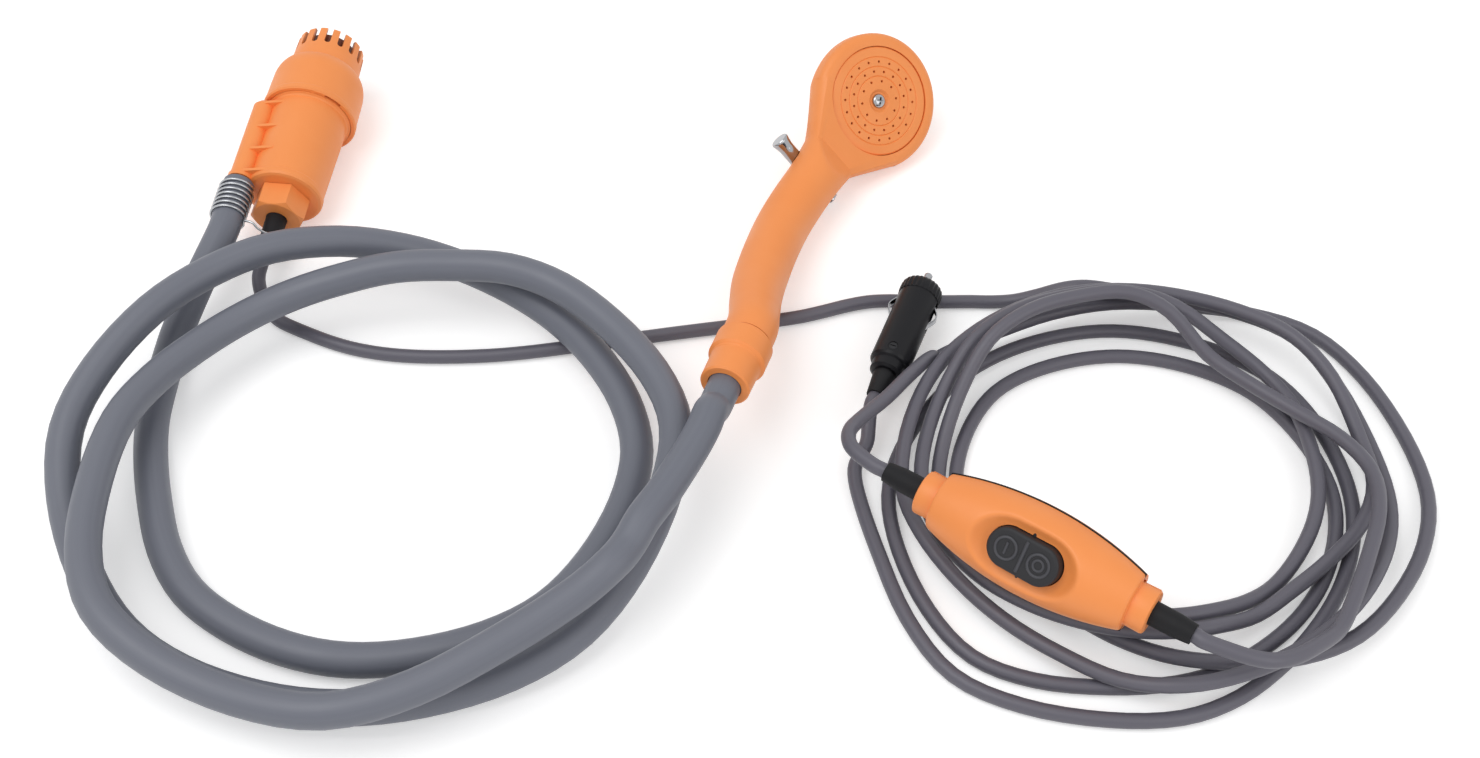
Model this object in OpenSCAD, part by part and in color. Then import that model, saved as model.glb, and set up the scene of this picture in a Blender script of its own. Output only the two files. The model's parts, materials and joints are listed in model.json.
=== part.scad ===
// Camp shower pump set: a 12 V submersible pump, its hose, the hand shower,
// the cable with an in-line switch, and the car plug, laid out on a floor.
// Millimetres. +Z is up, +X runs to the right and +Y away from the viewer.

/* [Pump] */
// length of the motor body, rear face to cap rim
body_len = 56; // [54:0.5:58]
// radius of the motor body at the rear
body_r = 20.5; // [20:0.25:21]
// radius of the strainer cap at its rim
cap_r = 25.6; // [25:0.2:26.4]
// length of the cap skirt, rim to shoulder
skirt_len = 21; // [19:0.5:23]
// length of the strainer crown above the shoulder
crown_len = 20; // [18.5:0.5:21.5]
// number of teeth round the strainer crown
teeth = 16; // [12:1:18]
// radius of the outlet tube that runs along the body
outlet_r = 6.1; // [5.8:0.1:6.4]
// width of the hexagon nut across its flats
nut_af = 25; // [23.5:0.5:25.5]

/* [Hand shower] */
// radius of the shower head
head_r = 37; // [35.5:0.5:38.5]
// radius of the spray plate
plate_r = 29.4; // [28.2:0.3:30]
// tilt of the spray face towards the handle, degrees
face_tilt = 30; // [27:1:32]
// radius of the hose collar's large ring
collar_r = 14.2; // [13.8:0.1:15]
// radius of the push button's head
button_r = 5.3; // [5:0.1:5.6]

/* [Switch] */
// half of the switch case length without its spouts
case_half = 47.5; // [45:0.5:50]
// half of the switch case width
case_w = 21; // [20:0.25:22]
// radius of the spouts
spout_r = 10.4; // [10:0.1:11]

/* [Plug] */
// radius of the plug body
plug_r = 10.25; // [10:0.05:10.4]
// length of the plug body
plug_len = 56; // [54:0.5:58]

/* [Hose and cable] */
// radius of the hose
hose_r = 8; // [7.6:0.1:8]
// radius of the hose bore
hose_bore = 5.6; // [5.4:0.1:5.7]
// radius of the cable
cable_r = 3.5; // [3.2:0.1:3.5]

/* [Hidden] */
$fn = 96;
orange = [0.94, 0.56, 0.30];
black = [0.13, 0.13, 0.15];
slate = [0.36, 0.39, 0.43];
steel = [0.78, 0.79, 0.81];
copper = [0.72, 0.45, 0.25];

// where the four hard pieces lie, from the middle of the layout
shift = [81.5, -87.3, 0];
pump_heading = 6;
// the pump lies on its rear rim and on the cap's rim
rim_back = 1.8;
rim_front = body_len + 1.2;
pump_tilt = atan((cap_r - body_r) / (rim_front - rim_back));
// the outlet tube is turned up from the pump's side
outlet_lift = 28;
pump_at = shift + [-242, 108, body_r * cos(pump_tilt) - rim_back * sin(pump_tilt)];
head_heading = 18.6;
head_pitch = -4.8;
head_roll = 46;
head_at = shift + [-7.3, -40.4, 42.8];
switch_heading = 34.5;
// the switch leans over towards the viewer
switch_roll = 51;
switch_at = shift + [128.2, -132.5, 42];
plug_heading = 22;
plug_tilt = 3;
plug_at = shift + [71, -10, 15.5];

function rotx(a) = [[1, 0, 0], [0, cos(a), -sin(a)], [0, sin(a), cos(a)]];
function roty(a) = [[cos(a), 0, sin(a)], [0, 1, 0], [-sin(a), 0, cos(a)]];
function rotz(a) = [[cos(a), -sin(a), 0], [sin(a), cos(a), 0], [0, 0, 1]];
lay = rotz(180) * rotx(90);
pump_turn = rotz(-pump_heading) * rotx(pump_tilt) * lay;
head_turn = rotz(-head_heading) * rotx(head_pitch) * roty(head_roll) * lay;
plug_turn = rotz(-plug_heading) * rotx(plug_tilt) * lay;
function pump_pt(p) = pump_at + pump_turn * p;
function outlet_pt(z) = pump_pt(rotz(outlet_lift) * [outlet_x, 0, z]);
function head_pt(p) = head_at + head_turn * p;
function switch_pt(p) = switch_at + rotz(-switch_heading) * rotx(switch_roll) * p;
function plug_pt(p) = plug_at + plug_turn * p;

module on_pump() translate(pump_at) rotate([0, 0, -pump_heading]) rotate([pump_tilt, 0, 0])
  rotate([90, 0, 180]) children();
module on_head() translate(head_at) rotate([0, 0, -head_heading]) rotate([head_pitch, 0, 0])
  rotate([0, head_roll, 0]) rotate([90, 0, 180]) children();
module on_switch() translate(switch_at) rotate([0, 0, -switch_heading]) rotate([switch_roll, 0, 0])
  children();
module on_plug() translate(plug_at) rotate([0, 0, -plug_heading]) rotate([plug_tilt, 0, 0])
  rotate([90, 0, 180]) children();

module ring(r1, r2, z1, z2) translate([0, 0, z1]) difference() {
  cylinder(r = r2, h = z2 - z1);
  translate([0, 0, -1]) cylinder(r = r1, h = z2 - z1 + 2);
}
module rod(r, z1, z2) translate([0, 0, z1]) cylinder(r = r, h = z2 - z1);
module torus(R, r, z) translate([0, 0, z]) rotate_extrude() translate([R, 0]) circle(r = r, $fn = 32);
module along_x() rotate([0, 90, 0]) children();

// smooth route through hand-chosen points
function spline(P, i, t) = let (n = len(P), b = P[i], c = P[i + 1],
  a = i > 0 ? P[i - 1] : 2 * b - c, d = i + 2 < n ? P[i + 2] : 2 * c - b)
  0.5 * (2 * b + (c - a) * t + (2 * a - 5 * b + 4 * c - d) * pow(t, 2)
  + (3 * b - a - 3 * c + d) * pow(t, 3));
function route(P, per) = [for (i = [0:len(P) - 2]) for (k = [0:per - 1]) spline(P, i, k / per),
  P[len(P) - 1]];
// loops of a coil: the reach from its centre at every eighth of a turn
function loops(c, from, step, reach, z) = [for (i = [0:len(reach) - 1])
  [c[0] + reach[i] * cos(from + step * i), c[1] + reach[i] * sin(from + step * i), z]];

// least distance in plan between two short straight stretches
function clamp(t) = max(0, min(1, t));
function pt_seg(p, a, b) = let (d = b - a, t = clamp(((p - a) * d) / max(d * d, 1e-6)))
  norm(p - a - t * d);
function side(o, p, q) = (p[0] - o[0]) * (q[1] - o[1]) - (p[1] - o[1]) * (q[0] - o[0]);
function plan_gap(a, b, c, d) =
  side(a, b, c) * side(a, b, d) < 0 && side(c, d, a) * side(c, d, b) < 0 ? 0 :
  min(pt_seg(a, c, d), pt_seg(b, c, d), pt_seg(c, a, b), pt_seg(d, a, b));
function flat(p) = [p[0], p[1]];
// what a laid cord offers to the next one: each stretch with its top height and radius
function bed(P, r, n) = [for (i = [0:n - 2])
  [flat(P[i]), flat(P[i + 1]), max(P[i][2], P[i + 1][2]) + r, r]];
// share of a lift that the rings before and after it still have
fall = [1, 0.85, 0.45, 0.12];
lift_gap = 0.6;
// rings of a cord nearer than this along it are its own neighbours
own_rings = 9;
// stretches further apart than this in plan are never compared
far_off = 130;
function meets(s, a, b, gap) = norm(s[0] - a) < far_off && plan_gap(s[0], s[1], a, b) < gap;
// height of ring j once the needs of the rings round it are known
function height(P, r, need, j) = max(concat([r, P[j][2]], [for (k = [-3:3])
  let (m = j + k) if (m >= 0 && m < len(need) && need[m] > 0) r + (need[m] - r) * fall[abs(k)]]));
// height that ring i needs to clear everything laid before it
function need_at(P, r, beds, need, i) = let (n = len(P),
  near = [for (k = [i - 1, i]) if (k >= 0 && k < n - 1) [flat(P[k]), flat(P[k + 1])]])
  max(concat([0],
    [for (b = beds) for (s = near) if (meets(s, b[0], b[1], r + b[3] + lift_gap))
      b[2] + r + lift_gap],
    [for (j = [0:1:i - own_rings]) for (s = near)
      if (meets(s, flat(P[j]), flat(P[j + 1]), 2 * r + lift_gap))
        max(height(P, r, need, j), height(P, r, need, j + 1)) + 2 * r + lift_gap]));
function needs(P, r, beds, need = []) = len(need) == len(P) ? need :
  needs(P, r, beds, concat(need, [need_at(P, r, beds, need, len(need))]));
// a cord laid on the floor and over what is there already
function laid(P, r, beds) = let (need = needs(P, r, beds))
  [for (j = [0:len(P) - 1]) [P[j][0], P[j][1], height(P, r, need, j)]];

// least distance in space between two short stretches
function seg3(a, b, c, d) = let (u = b - a, v = d - c, w = a - c, A = u * u, B = u * v, C = v * v,
  D = u * w, E = v * w, den = max(A * C - B * B, 1e-9),
  s0 = clamp((B * E - C * D) / den), t0 = clamp((B * s0 + E) / C), s1 = clamp((B * t0 - D) / A))
  norm(w + s1 * u - t0 * v);
function least_gap(P, r, Q, q, skip) = min([for (i = [0:len(P) - 2])
  for (j = [skip < 0 ? 0 : i + skip:1:len(Q) - 2])
    if (norm(P[i] - Q[j]) < far_off) seg3(P[i], P[i + 1], Q[j], Q[j + 1]) - r - q]);

// tube along a route: a ring of n corners at each point, bore left out or cut
function unit(v) = v / norm(v);
function way(P, i) = unit(P[min(i + 1, len(P) - 1)] - P[max(i - 1, 0)]);
function hoop(P, i, r, n, up) = let (t = way(P, i), s = unit(cross(up, t)), u = cross(t, s))
  [for (k = [0:n - 1]) P[i] + r * (cos(360 * k / n) * s + sin(360 * k / n) * u)];
module tube(P, r, n, first = 0, last = -1, up = [0, 0, 1]) {
  end = last < 0 ? len(P) - 1 : last;
  m = end - first + 1;
  pts = [for (i = [first:end]) each hoop(P, i, r, n, up)];
  walls = [for (i = [0:m - 2]) for (k = [0:n - 1])
    let (a = i * n + k, b = i * n + (k + 1) % n, c = b + n, d = a + n) each [[a, d, c], [a, c, b]]];
  ends = [for (k = [1:n - 2]) each [[0, k, k + 1], [(m - 1) * n, (m - 1) * n + k + 1, (m - 1) * n + k]]];
  polyhedron(points = pts, faces = concat(walls, ends), convexity = 20);
}
module pipe(P, r, bore, n) {
  m = len(P);
  up = [0, 0, 1];
  pts = [for (i = [0:m - 1]) each concat(hoop(P, i, r, n, up), hoop(P, i, bore, n, up))];
  walls = [for (i = [0:m - 2]) for (k = [0:n - 1])
    let (a = 2 * i * n + k, b = 2 * i * n + (k + 1) % n, c = b + 2 * n, d = a + 2 * n)
    each [[a, d, c], [a, c, b], [a + n, c + n, d + n], [a + n, b + n, c + n]]];
  last = 2 * (m - 1) * n;
  ends = [for (k = [0:n - 1]) let (j = (k + 1) % n) each [[k, j, n + j], [k, n + j, n + k],
    [last + k, last + n + j, last + j], [last + k, last + n + k, last + n + j]]];
  polyhedron(points = pts, faces = concat(walls, ends), convexity = 20);
}

// plug cable: from the plug three times round the coil and up to the switch
coil_c = [190, -75];
plug_reach = [134, 137, 118, 98.5, 98, 104, 104, 108, 120, 124, 101, 90, 89.5, 89, 87, 90,
  87.5, 76.5, 92.5, 115.5, 134, 143, 117, 120];
// its last rise, over the coil to the switch
plug_rise = [[95.5, 3.5, 13], [83.5, -14.5, 22], [70, -34, 27], [57.5, -50.5, 32.5], [50.5, -63, 37.5],
  [51, -75, 41]];
function plug_route() = route(concat(
  [for (z = [-7.2, -14.2, -21]) plug_pt([0, 0, z])], [shift + [61, -46, 8]],
  [for (p = loops(coil_c, 180, 45, plug_reach, cable_r)) p + shift],
  [for (p = plug_rise) p + shift],
  [for (x = [sleeve_tip + 8, sleeve_tip + 0.5, cable_seat]) switch_pt([-x, 0, 0])]), 3);
function plug_laid() = laid(plug_route(), cable_r, []);
// pump cable: the free lead from the gland, then three turns and a half to the switch
lead_free = [[-245, 47.5, 7.5], [-238.5, 38.5, 4.5], [-228, 31.5, 3.5], [-198, 18, 3.5], [-165, 12, 3.5],
  [-120, 13, 3.5], [-70, 21, 3.5], [-30, 28, 3.5], [0, 33, 3.5], [32, 39, 3.5], [66, 49, 3.5],
  [98, 49, 3.5], [130, 49, 3.5], [163, 46, 3.5], [195, 42, 3.5]];
pump_reach = [124, 115, 107, 109.5, 103, 114, 115.5, 111.5, 114.5, 106.5, 81.5, 84, 93.5, 104.5, 107,
  103.5, 97.5, 81, 73, 75.5, 85, 96, 98.5, 95.5, 80.5, 103];
function pump_route() = route(concat(
  [for (p = [[0, 0, -28.2], [0, 0, -36.5], [0, 0, -43], [1, -4, -51]]) pump_pt(p)],
  [for (p = lead_free) p + shift],
  [for (p = loops(coil_c, 45, -45, pump_reach, cable_r)) p + shift],
  [for (p = [[267, -149, 22], [244, -175, 32], [221, -186, 39]]) p + shift],
  [for (x = [sleeve_tip + 8, sleeve_tip + 0.5, cable_seat]) switch_pt([x, 0, 0])]), 3);
// the plug cable's last rise to the switch lies over the pump cable, so it is no bed for it
function plug_bed() = let (P = plug_laid()) bed(P, cable_r, len(P) - 3 * (len(plug_rise) + 2));
function pump_laid() = laid(pump_route(), cable_r, plug_bed());
lead_rings = 3 * (4 + len(lead_free) - 1) + 1;
// hose: from the outlet twice and a half round and into the hand shower
hose_c = [-172, -55];
hose_reach = [109, 108, 112, 121, 123, 114, 119, 129, 143, 141, 136, 144, 142, 118, 95, 101, 117, 146,
  150, 142];
function hose_route() = route(concat(
  [for (z = [-1.2, -12, -23, -35]) outlet_pt(z)],
  [shift + [-276, 42, 20], shift + [-284, 5, 10.5]],
  [for (p = loops(hose_c, 180, 45, hose_reach, hose_r)) p + shift],
  [shift + [-42, -120, 45]], [for (z = [-40, -14, 10, 41.4]) head_pt([0, 0, z])]), 3);
function lead_bed() = let (P = pump_laid()) bed(P, cable_r, lead_rings);
function hose_laid() = laid(hose_route(), hose_r, lead_bed());

// pump, worked out from its rear face along its own axis
outlet_x = body_r + 3.2;
spigot_r = cap_r - 2.8;
chamber_r = spigot_r - 2.2;
bulk_back = body_len - 4;
bulk_front = body_len + 5;
spigot_end = body_len + 15;
shoulder_z = body_len + skirt_len;
crown_z = shoulder_z + 12.5;
top_z = crown_z + crown_len;
crown_r = cap_r - 6.6;
slot_w = 3.3;
slot_len = 9.5;
mouth_r = 12.4;
blade_top = spigot_end - 1.5;
barb_len = 22;
// the motor's core and magnets
core_back = 20;
core_front = body_len - 12;
nut_back = -14.5;
sleeve_back = -36;
sleeve_r = 5.5;
gusset_at = [2.4, 18, 34, body_len - 5];
module gusset(z, s) translate([0, 0, z]) linear_extrude(1.7)
  polygon([[14.5, s * 14.4], [outlet_x + 1.5, s * (outlet_r - 0.15)], [outlet_x - 4, s * 1], [11, s * 9]]);

module pump_body() color(orange) on_pump() difference() {
  union() {
    rotate_extrude() polygon([[0, 0], [body_r - 2, 0], [body_r - 0.6, 0.5], [body_r, rim_back],
      [body_r, 4.4], [body_r - 0.5, 5], [body_r + 0.5, body_len - 1.2], [body_r + 1.2, body_len - 0.4],
      [spigot_r, body_len], [spigot_r, spigot_end], [chamber_r, spigot_end], [chamber_r, bulk_front],
      [0, bulk_front]]);
    rotate(outlet_lift) {
      translate([outlet_x, 0, 0]) rotate_extrude() polygon([[0, 0], [outlet_r + 0.8, 0],
        [outlet_r + 0.8, 2.6], [outlet_r, 3.4], [outlet_r, body_len - 4], [outlet_r - 2, body_len - 1.2],
        [0, body_len - 1.2]]);
      translate([outlet_x, 0, -barb_len]) rotate_extrude() polygon([[0, 0], [4.3, 0], [5, 4], [4.5, 4.1],
        [4.5, 7], [5, 11], [4.5, 11.1], [4.5, barb_len + 1], [0, barb_len + 1]]);
      for (z = gusset_at, s = [-1, 1]) gusset(z, s);
    }
    rod(9.8, -8.5, 1);
    for (a = [90, 270]) rotate(a) intersection() {
      ring(spigot_r - 0.5, spigot_r + 1.3, body_len + 10, body_len + 13);
      translate([spigot_r, 0, body_len + 11]) cube([6, 8, 10], center = true);
    }
  }
  rod(17.2, 3, bulk_back);
  rod(2.5, bulk_back - 1, bulk_front + 1);
  rod(6, bulk_front - 4, bulk_front + 1);
  rod(6.6, -9, -0.5);
  rod(4, -1, 4);
  rotate(outlet_lift) {
    translate([outlet_x, 0, 0]) rod(3, -barb_len - 1, body_len - 8);
    bore_to([outlet_x, 0, body_len - 9], [chamber_r - 4, 0, bulk_front + 2.5], 2.4);
  }
  ring(spigot_r - 1.4, spigot_r + 1, body_len + 3.2, body_len + 4.8);
}
module strainer_cap() color(orange) on_pump() {
  cap_shell();
  // inner collar of the mouth, on a web across the shoulder
  ring(mouth_r, mouth_r + 1.6, crown_z - 3, top_z - 1.3);
  ring(mouth_r + 0.8, crown_r - 2.4, crown_z - 3, crown_z - 1.2);
}
module cap_shell() difference() {
  rotate_extrude() polygon(concat([[spigot_r + 0.3, body_len + 0.4], [cap_r - 0.8, body_len + 0.4],
    [cap_r, rim_front], [cap_r, body_len + 3.5], [cap_r - 0.3, body_len + 4.2]],
    [for (a = [0:9:90]) [crown_r + 0.5 + (cap_r - 1.2 - crown_r) * cos(a), shoulder_z + 11 * sin(a)]],
    [[crown_r, crown_z], [crown_r - 0.7, top_z - 0.6], [crown_r - 1.2, top_z], [crown_r - 2.9, top_z],
    [crown_r - 3.5, crown_z - 3], [spigot_r - 2, shoulder_z], [spigot_r - 2, spigot_end + 3.2],
    [spigot_r + 0.3, spigot_end + 3.2]]));
  for (i = [0:teeth - 1]) rotate(360 * (i + 0.5) / teeth) {
    translate([crown_r - 4.5, -slot_w / 2, top_z - slot_len]) cube([10, slot_w, slot_len + 1]);
    translate([crown_r - 4.5, 0, top_z - slot_len]) along_x() cylinder(r = slot_w / 2, h = 10, $fn = 32);
  }
  ring(spigot_r - 1, spigot_r + 1.7, body_len + 9.6, body_len + 13.4);
  for (a = [135, 315]) rotate(a) intersection() {
    ring(spigot_r - 1, spigot_r + 1.7, body_len - 1, body_len + 13.4);
    translate([spigot_r, 0, body_len + 6]) cube([8, 10, 20], center = true);
  }
}
module cap_seal() color(black) on_pump() torus(spigot_r - 0.68, 0.65, body_len + 4);
module chamber_plate() color(black) on_pump() rotate_extrude() polygon([[6.5, spigot_end + 0.1],
  [spigot_r - 0.4, spigot_end + 0.1], [spigot_r - 0.4, spigot_end + 2.4], [9.5, spigot_end + 2.4],
  [8.5, spigot_end + 5.5], [7, spigot_end + 5.5], [6.5, spigot_end + 2]]);
module impeller() color(black) on_pump() difference() {
  union() {
    rod(3.6, bulk_front + 2, blade_top);
    rod(chamber_r - 2, bulk_front + 2.2, bulk_front + 4);
    for (a = [0:60:300]) rotate(a) translate([4.2, 0, bulk_front + 3.9]) rotate(-28)
      translate([-1, -0.8, 0]) cube([chamber_r - 7, 1.6, blade_top - bulk_front - 3.9]);
  }
  rod(1.17, bulk_front, bulk_front + 20);
}
module motor_shaft() color(steel) on_pump() rod(1.15, 6, blade_top + 0.5);
module armature_core() color(steel) on_pump() difference() {
  rod(10, core_back, core_front);
  rod(1.17, 0, 60);
  for (a = [0:72:288]) rotate(a) {
    translate([8, -1, core_back - 1]) cube([4, 2, core_front - core_back + 2]);
    translate([6.5, 0, 0]) rod(2, core_back - 1, core_front + 1);
  }
}
module commutator() color(copper) on_pump() difference() {
  rod(3.8, 12, 19.5);
  rod(1.17, 0, 60);
  for (a = [0:72:288]) rotate(a) translate([3, -0.25, 11.5]) cube([2, 0.5, 6.5]);
}
module motor_can() color(steel) on_pump() difference() {
  union() {
    rod(13.8, 14, body_len - 6);
    rod(3, body_len - 7, body_len - 4.6);
  }
  rod(12.6, 13, body_len - 8);
  rod(1.2, 0, 80);
}
module motor_end_cap() color(black) on_pump() difference() {
  union() {
    rod(13.7, 10, 13.9);
    rod(3.4, 7.6, 10.5);
  }
  rod(1.2, 0, 30);
  rod(6, 11.6, 14);
}
module field_magnets() color([0.30, 0.30, 0.33]) on_pump() difference() {
  ring(10.7, 12.5, core_back, core_front);
  translate([-3, -20, core_back - 1]) cube([6, 40, core_front - core_back + 2]);
}
module brush_pair() color(copper) on_pump() for (s = [-1, 1]) translate([s * 6.6, 0, 15.9])
  cube([4.4, 2.4, 3.4], center = true);
module motor_sleeve() color(black) on_pump() ring(13.85, 17.1, core_back + 2, core_front - 2);
module shaft_seal() color(black) on_pump() ring(1.22, 5.9, bulk_front - 3.9, bulk_front - 0.2);
module gland_nut() color(orange) on_pump() difference() {
  intersection() {
    translate([0, 0, nut_back]) cylinder(r = nut_af / 2 / cos(30), h = -0.3 - nut_back, $fn = 6);
    rotate_extrude() polygon([[0, nut_back], [nut_af / 2 - 0.4, nut_back],
      [nut_af / 2 / cos(30), nut_back + 1.6], [nut_af / 2 / cos(30), -0.3], [0, -0.3]]);
  }
  rod(10, -9.6, 1);
  rod(5.7, nut_back - 1, 0);
}
module gland_seal() color(black) on_pump() ring(3.7, 6.5, -8.3, -0.7);
module pump_sleeve() color(black) on_pump() difference() {
  rotate_extrude() polygon([[0, sleeve_back], [sleeve_r - 0.9, sleeve_back],
    [sleeve_r - 0.1, sleeve_back + 1.5], [sleeve_r, -9.5], [9.2, -9.5], [9.2, -8.7],
    [3.6, -8.7], [3.6, 2.4], [0, 2.4]]);
  rod(cable_r + 0.1, sleeve_back - 1, sleeve_back + 8);
}
// one unbroken wire: turns on the hose, a tail across, turns on the sleeve
wire_turns = 6;
wire_r = 0.65;
function wire_route() = let (R = hose_r + wire_r + 0.15, q = sleeve_r + wire_r + 0.3) concat(
  [for (i = [0:16 * wire_turns]) let (a = 150 - 22.5 * i, f = i / (16 * wire_turns))
    [outlet_x + R * cos(a), R * sin(a), -6 - 17.5 * f]],
  [[outlet_x - 12.2, 6.9, -25], [8.2, 6, -27.6]],
  [for (i = [0:35]) let (a = 55 + 22.5 * i) [q * cos(a), q * sin(a), -29 - 0.085 * i]]);
module binding_wire() color(steel) on_pump() rotate(outlet_lift) tube(wire_route(), wire_r, 6);

module hose() color(slate) {
  P = hose_laid();
  echo(hose_length = norm_sum(P), hose_least_gap = least_gap(P, hose_r, P, hose_r, own_rings));
  pipe(P, hose_r, hose_bore, 8);
}
function norm_sum(P) = len(P) < 2 ? 0 : [for (i = [0:len(P) - 2]) norm(P[i + 1] - P[i])] *
  [for (i = [0:len(P) - 2]) 1];

// hand shower, worked out from its hose end along the handle; +Y is the face side
face_y = 17.5;
face_z = 223;
valve_y = -15;
valve_z = 175.5;
button_base = button_r - 1.2;
module on_face() translate([0, face_y, face_z]) rotate([-90 - face_tilt, 0, 0]) children();
module on_valve() translate([0, valve_y, valve_z]) rotate([0, 90, 0]) children();
// handle sections: height, offset to the front, half width, half depth
handle_cut = [[31.3, 0, 12.7, 12.7], [45, -1, 12.9, 12.9], [60, -6.6, 13.3, 13.1], [78, -12.6, 13.8, 13.4],
  [97, -16, 14, 13.6], [116, -17.9, 14.1, 13.7], [135, -17.8, 14.2, 13.9], [153, -14.8, 14.6, 14],
  [170, -9.8, 15.7, 13.9], [face_z - 37, face_y - 22.9, 17.6, 13.4],
  [face_z - 23, face_y - 19.9, 19.6, 12.4], [face_z - 11, face_y - 17.9, 20.5, 11.5]];
module handle(n) {
  S = route(handle_cut, 2);
  m = len(S);
  pts = [for (s = S) for (k = [0:n - 1]) [s[2] * cos(360 * k / n), s[1] + s[3] * sin(360 * k / n), s[0]]];
  walls = [for (i = [0:m - 2]) for (k = [0:n - 1])
    let (a = i * n + k, b = i * n + (k + 1) % n, c = b + n, d = a + n) each [[a, d, c], [a, c, b]]];
  ends = [for (k = [1:n - 2]) each [[0, k, k + 1], [(m - 1) * n, (m - 1) * n + k + 1, (m - 1) * n + k]]];
  polyhedron(points = pts, faces = concat(walls, ends), convexity = 10);
}
module bore_to(a, b, r) {
  d = b - a;
  translate(a) rotate([0, acos(d[2] / norm(d)), atan2(d[1], d[0])]) cylinder(r = r, h = norm(d));
}
// the water's way through the handle
water_r = 5;
water_way = [[0, -1, 42], [0, -6.6, 60], [0, -12.6, 78], [0, -17, 106], [0, -17.9, 130],
  [0, valve_y, valve_z + 5], [0, face_y - 18.5, face_z - 16]];
module head_shell() color(orange) on_head() difference() {
  union() {
    on_face() rotate_extrude() polygon(concat(
      [for (a = [0:10:90]) [(head_r - 1) * sin(a), -10 - 17 * cos(a)]],
      [[head_r, -7], [head_r - 0.1, -5.5], [head_r - 0.5, -3.6], [head_r - 1.4, -1.8], [head_r - 2.8, -0.6],
      [head_r - 4.6, 0], [0, 0]]));
    difference() {
      handle(24);
      on_face() translate([0, 0, -0.8]) cylinder(r = head_r + 6, h = 40);
    }
    rod(11.4, 14.5, 34);
  }
  on_face() {
    translate([0, 0, -4.2]) cylinder(r = plate_r + 0.3, h = 10);
    difference() {
      rotate_extrude() polygon([[0, -21], [16, -21], [plate_r - 3.6, -15], [plate_r - 3.6, -4], [0, -4]]);
      translate([0, 0, -24]) cylinder(r = 4.2, h = 19.6);
    }
    translate([0, 0, -16]) cylinder(r = 1.3, h = 20);
  }
  rod(hose_r + 0.6, 10, 44);
  for (i = [0:len(water_way) - 2]) let (a = water_way[i], b = water_way[i + 1], past = 1.2 * unit(b - a))
    bore_to(a - past, b + past, water_r - 0.4 * (i % 2));
  on_valve() {
    rod(button_base + 0.35, 2.5, 40);
    rod(3.6, -13, 4);
    rod(2.8, -40, -10);
  }
}
// grooves of the spray plate, and its rings of jets: number, distance from the edge
groove_at = [5.6, 10.8, 16];
jets = [[10, 18.6], [16, 13.4], [20, 8.2]];
module spray_plate() color(orange) on_head() on_face() difference() {
  rotate_extrude() polygon([[0, -3], [plate_r, -3], [plate_r, -0.9], [plate_r - 0.7, -0.3],
    for (g = groove_at) each [[plate_r - g + 0.4, -0.1], [plate_r - g, -0.5], [plate_r - g - 0.4, -0.1]],
    [6.4, 0.3], [5, -1], [0, -1]]);
  for (k = jets) for (i = [0:k[0] - 1]) rotate(360 * (i + 0.5) / k[0])
    translate([plate_r - k[1], 0, -4]) cylinder(r = 0.7, h = 6, $fn = 16);
  rod(1.7, -4, 1);
}
module plate_seal() color(black) on_head() on_face() ring(plate_r - 3.3, plate_r, -4.1, -3.1);
module plate_screw() color(steel) on_head() on_face() difference() {
  union() {
    rod(1.25, -14, 0);
    rotate_extrude() polygon([[0, -0.95], [3.3, -0.95], [3.3, -0.2], [2.6, 0.6], [1.2, 1.05], [0, 1.1]]);
  }
  translate([-2.2, -0.35, 0.2]) cube([4.4, 0.7, 2]);
  translate([-0.35, -2.2, 0.2]) cube([0.7, 4.4, 2]);
}
module valve_stem() color(steel) on_head() on_valve() rotate_extrude() polygon([[0, -18.8],
  [1.9, -18.8], [2.4, -18.2], [2.4, -17.7], [1.7, -17.7], [1.7, -16.7], [2.4, -16.7], [2.4, -6.2],
  [2, -6.2], [2, -4.8], [2.4, -4.8], [2.4, 0.8], [2, 0.8], [2, 2.2], [2.4, 2.2], [2.4, 9], [0, 9]]);
module push_button() color(steel) on_head() on_valve() rotate_extrude() polygon([[0, 9],
  [button_base - 0.3, 9], [button_base, 9.4], [button_base, 22.4], [button_r, 23.4], [button_r, 25.6],
  [button_r - 0.4, 26.4], [button_r - 1.2, 26.8], [0, 27]]);
module valve_rings() color(black) on_head() on_valve() for (z = [-5.5, 1.5]) torus(2.6, 0.55, z);
module stem_clip() color(steel) on_head() on_valve() difference() {
  ring(1.75, 4, -17.6, -16.8);
  translate([0, -1.2, -19]) cube([6, 2.4, 4]);
}
module hose_collar() color(orange) on_head() rotate_extrude() polygon([[hose_r + 0.4, 0], [11.4, 0],
  [12.2, 0.8], [12.4, 15.4], [12.8, 16.6], [collar_r - 0.9, 17], [collar_r, 17.9], [collar_r, 29.8],
  [collar_r - 1, 31], [11.6, 31], [11.6, 14], [hose_r + 0.4, 14]]);
module hose_nipple() color(black) on_head() rotate_extrude() polygon([[3, 20], [4.4, 20], [5, 24],
  [4.5, 24.1], [4.5, 27], [5, 31], [4.5, 31.1], [4.5, 34], [5, 38], [4.5, 38.1], [4.5, 41.8], [8.4, 41.8],
  [8.4, 43.8], [3, 43.8]]);

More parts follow.
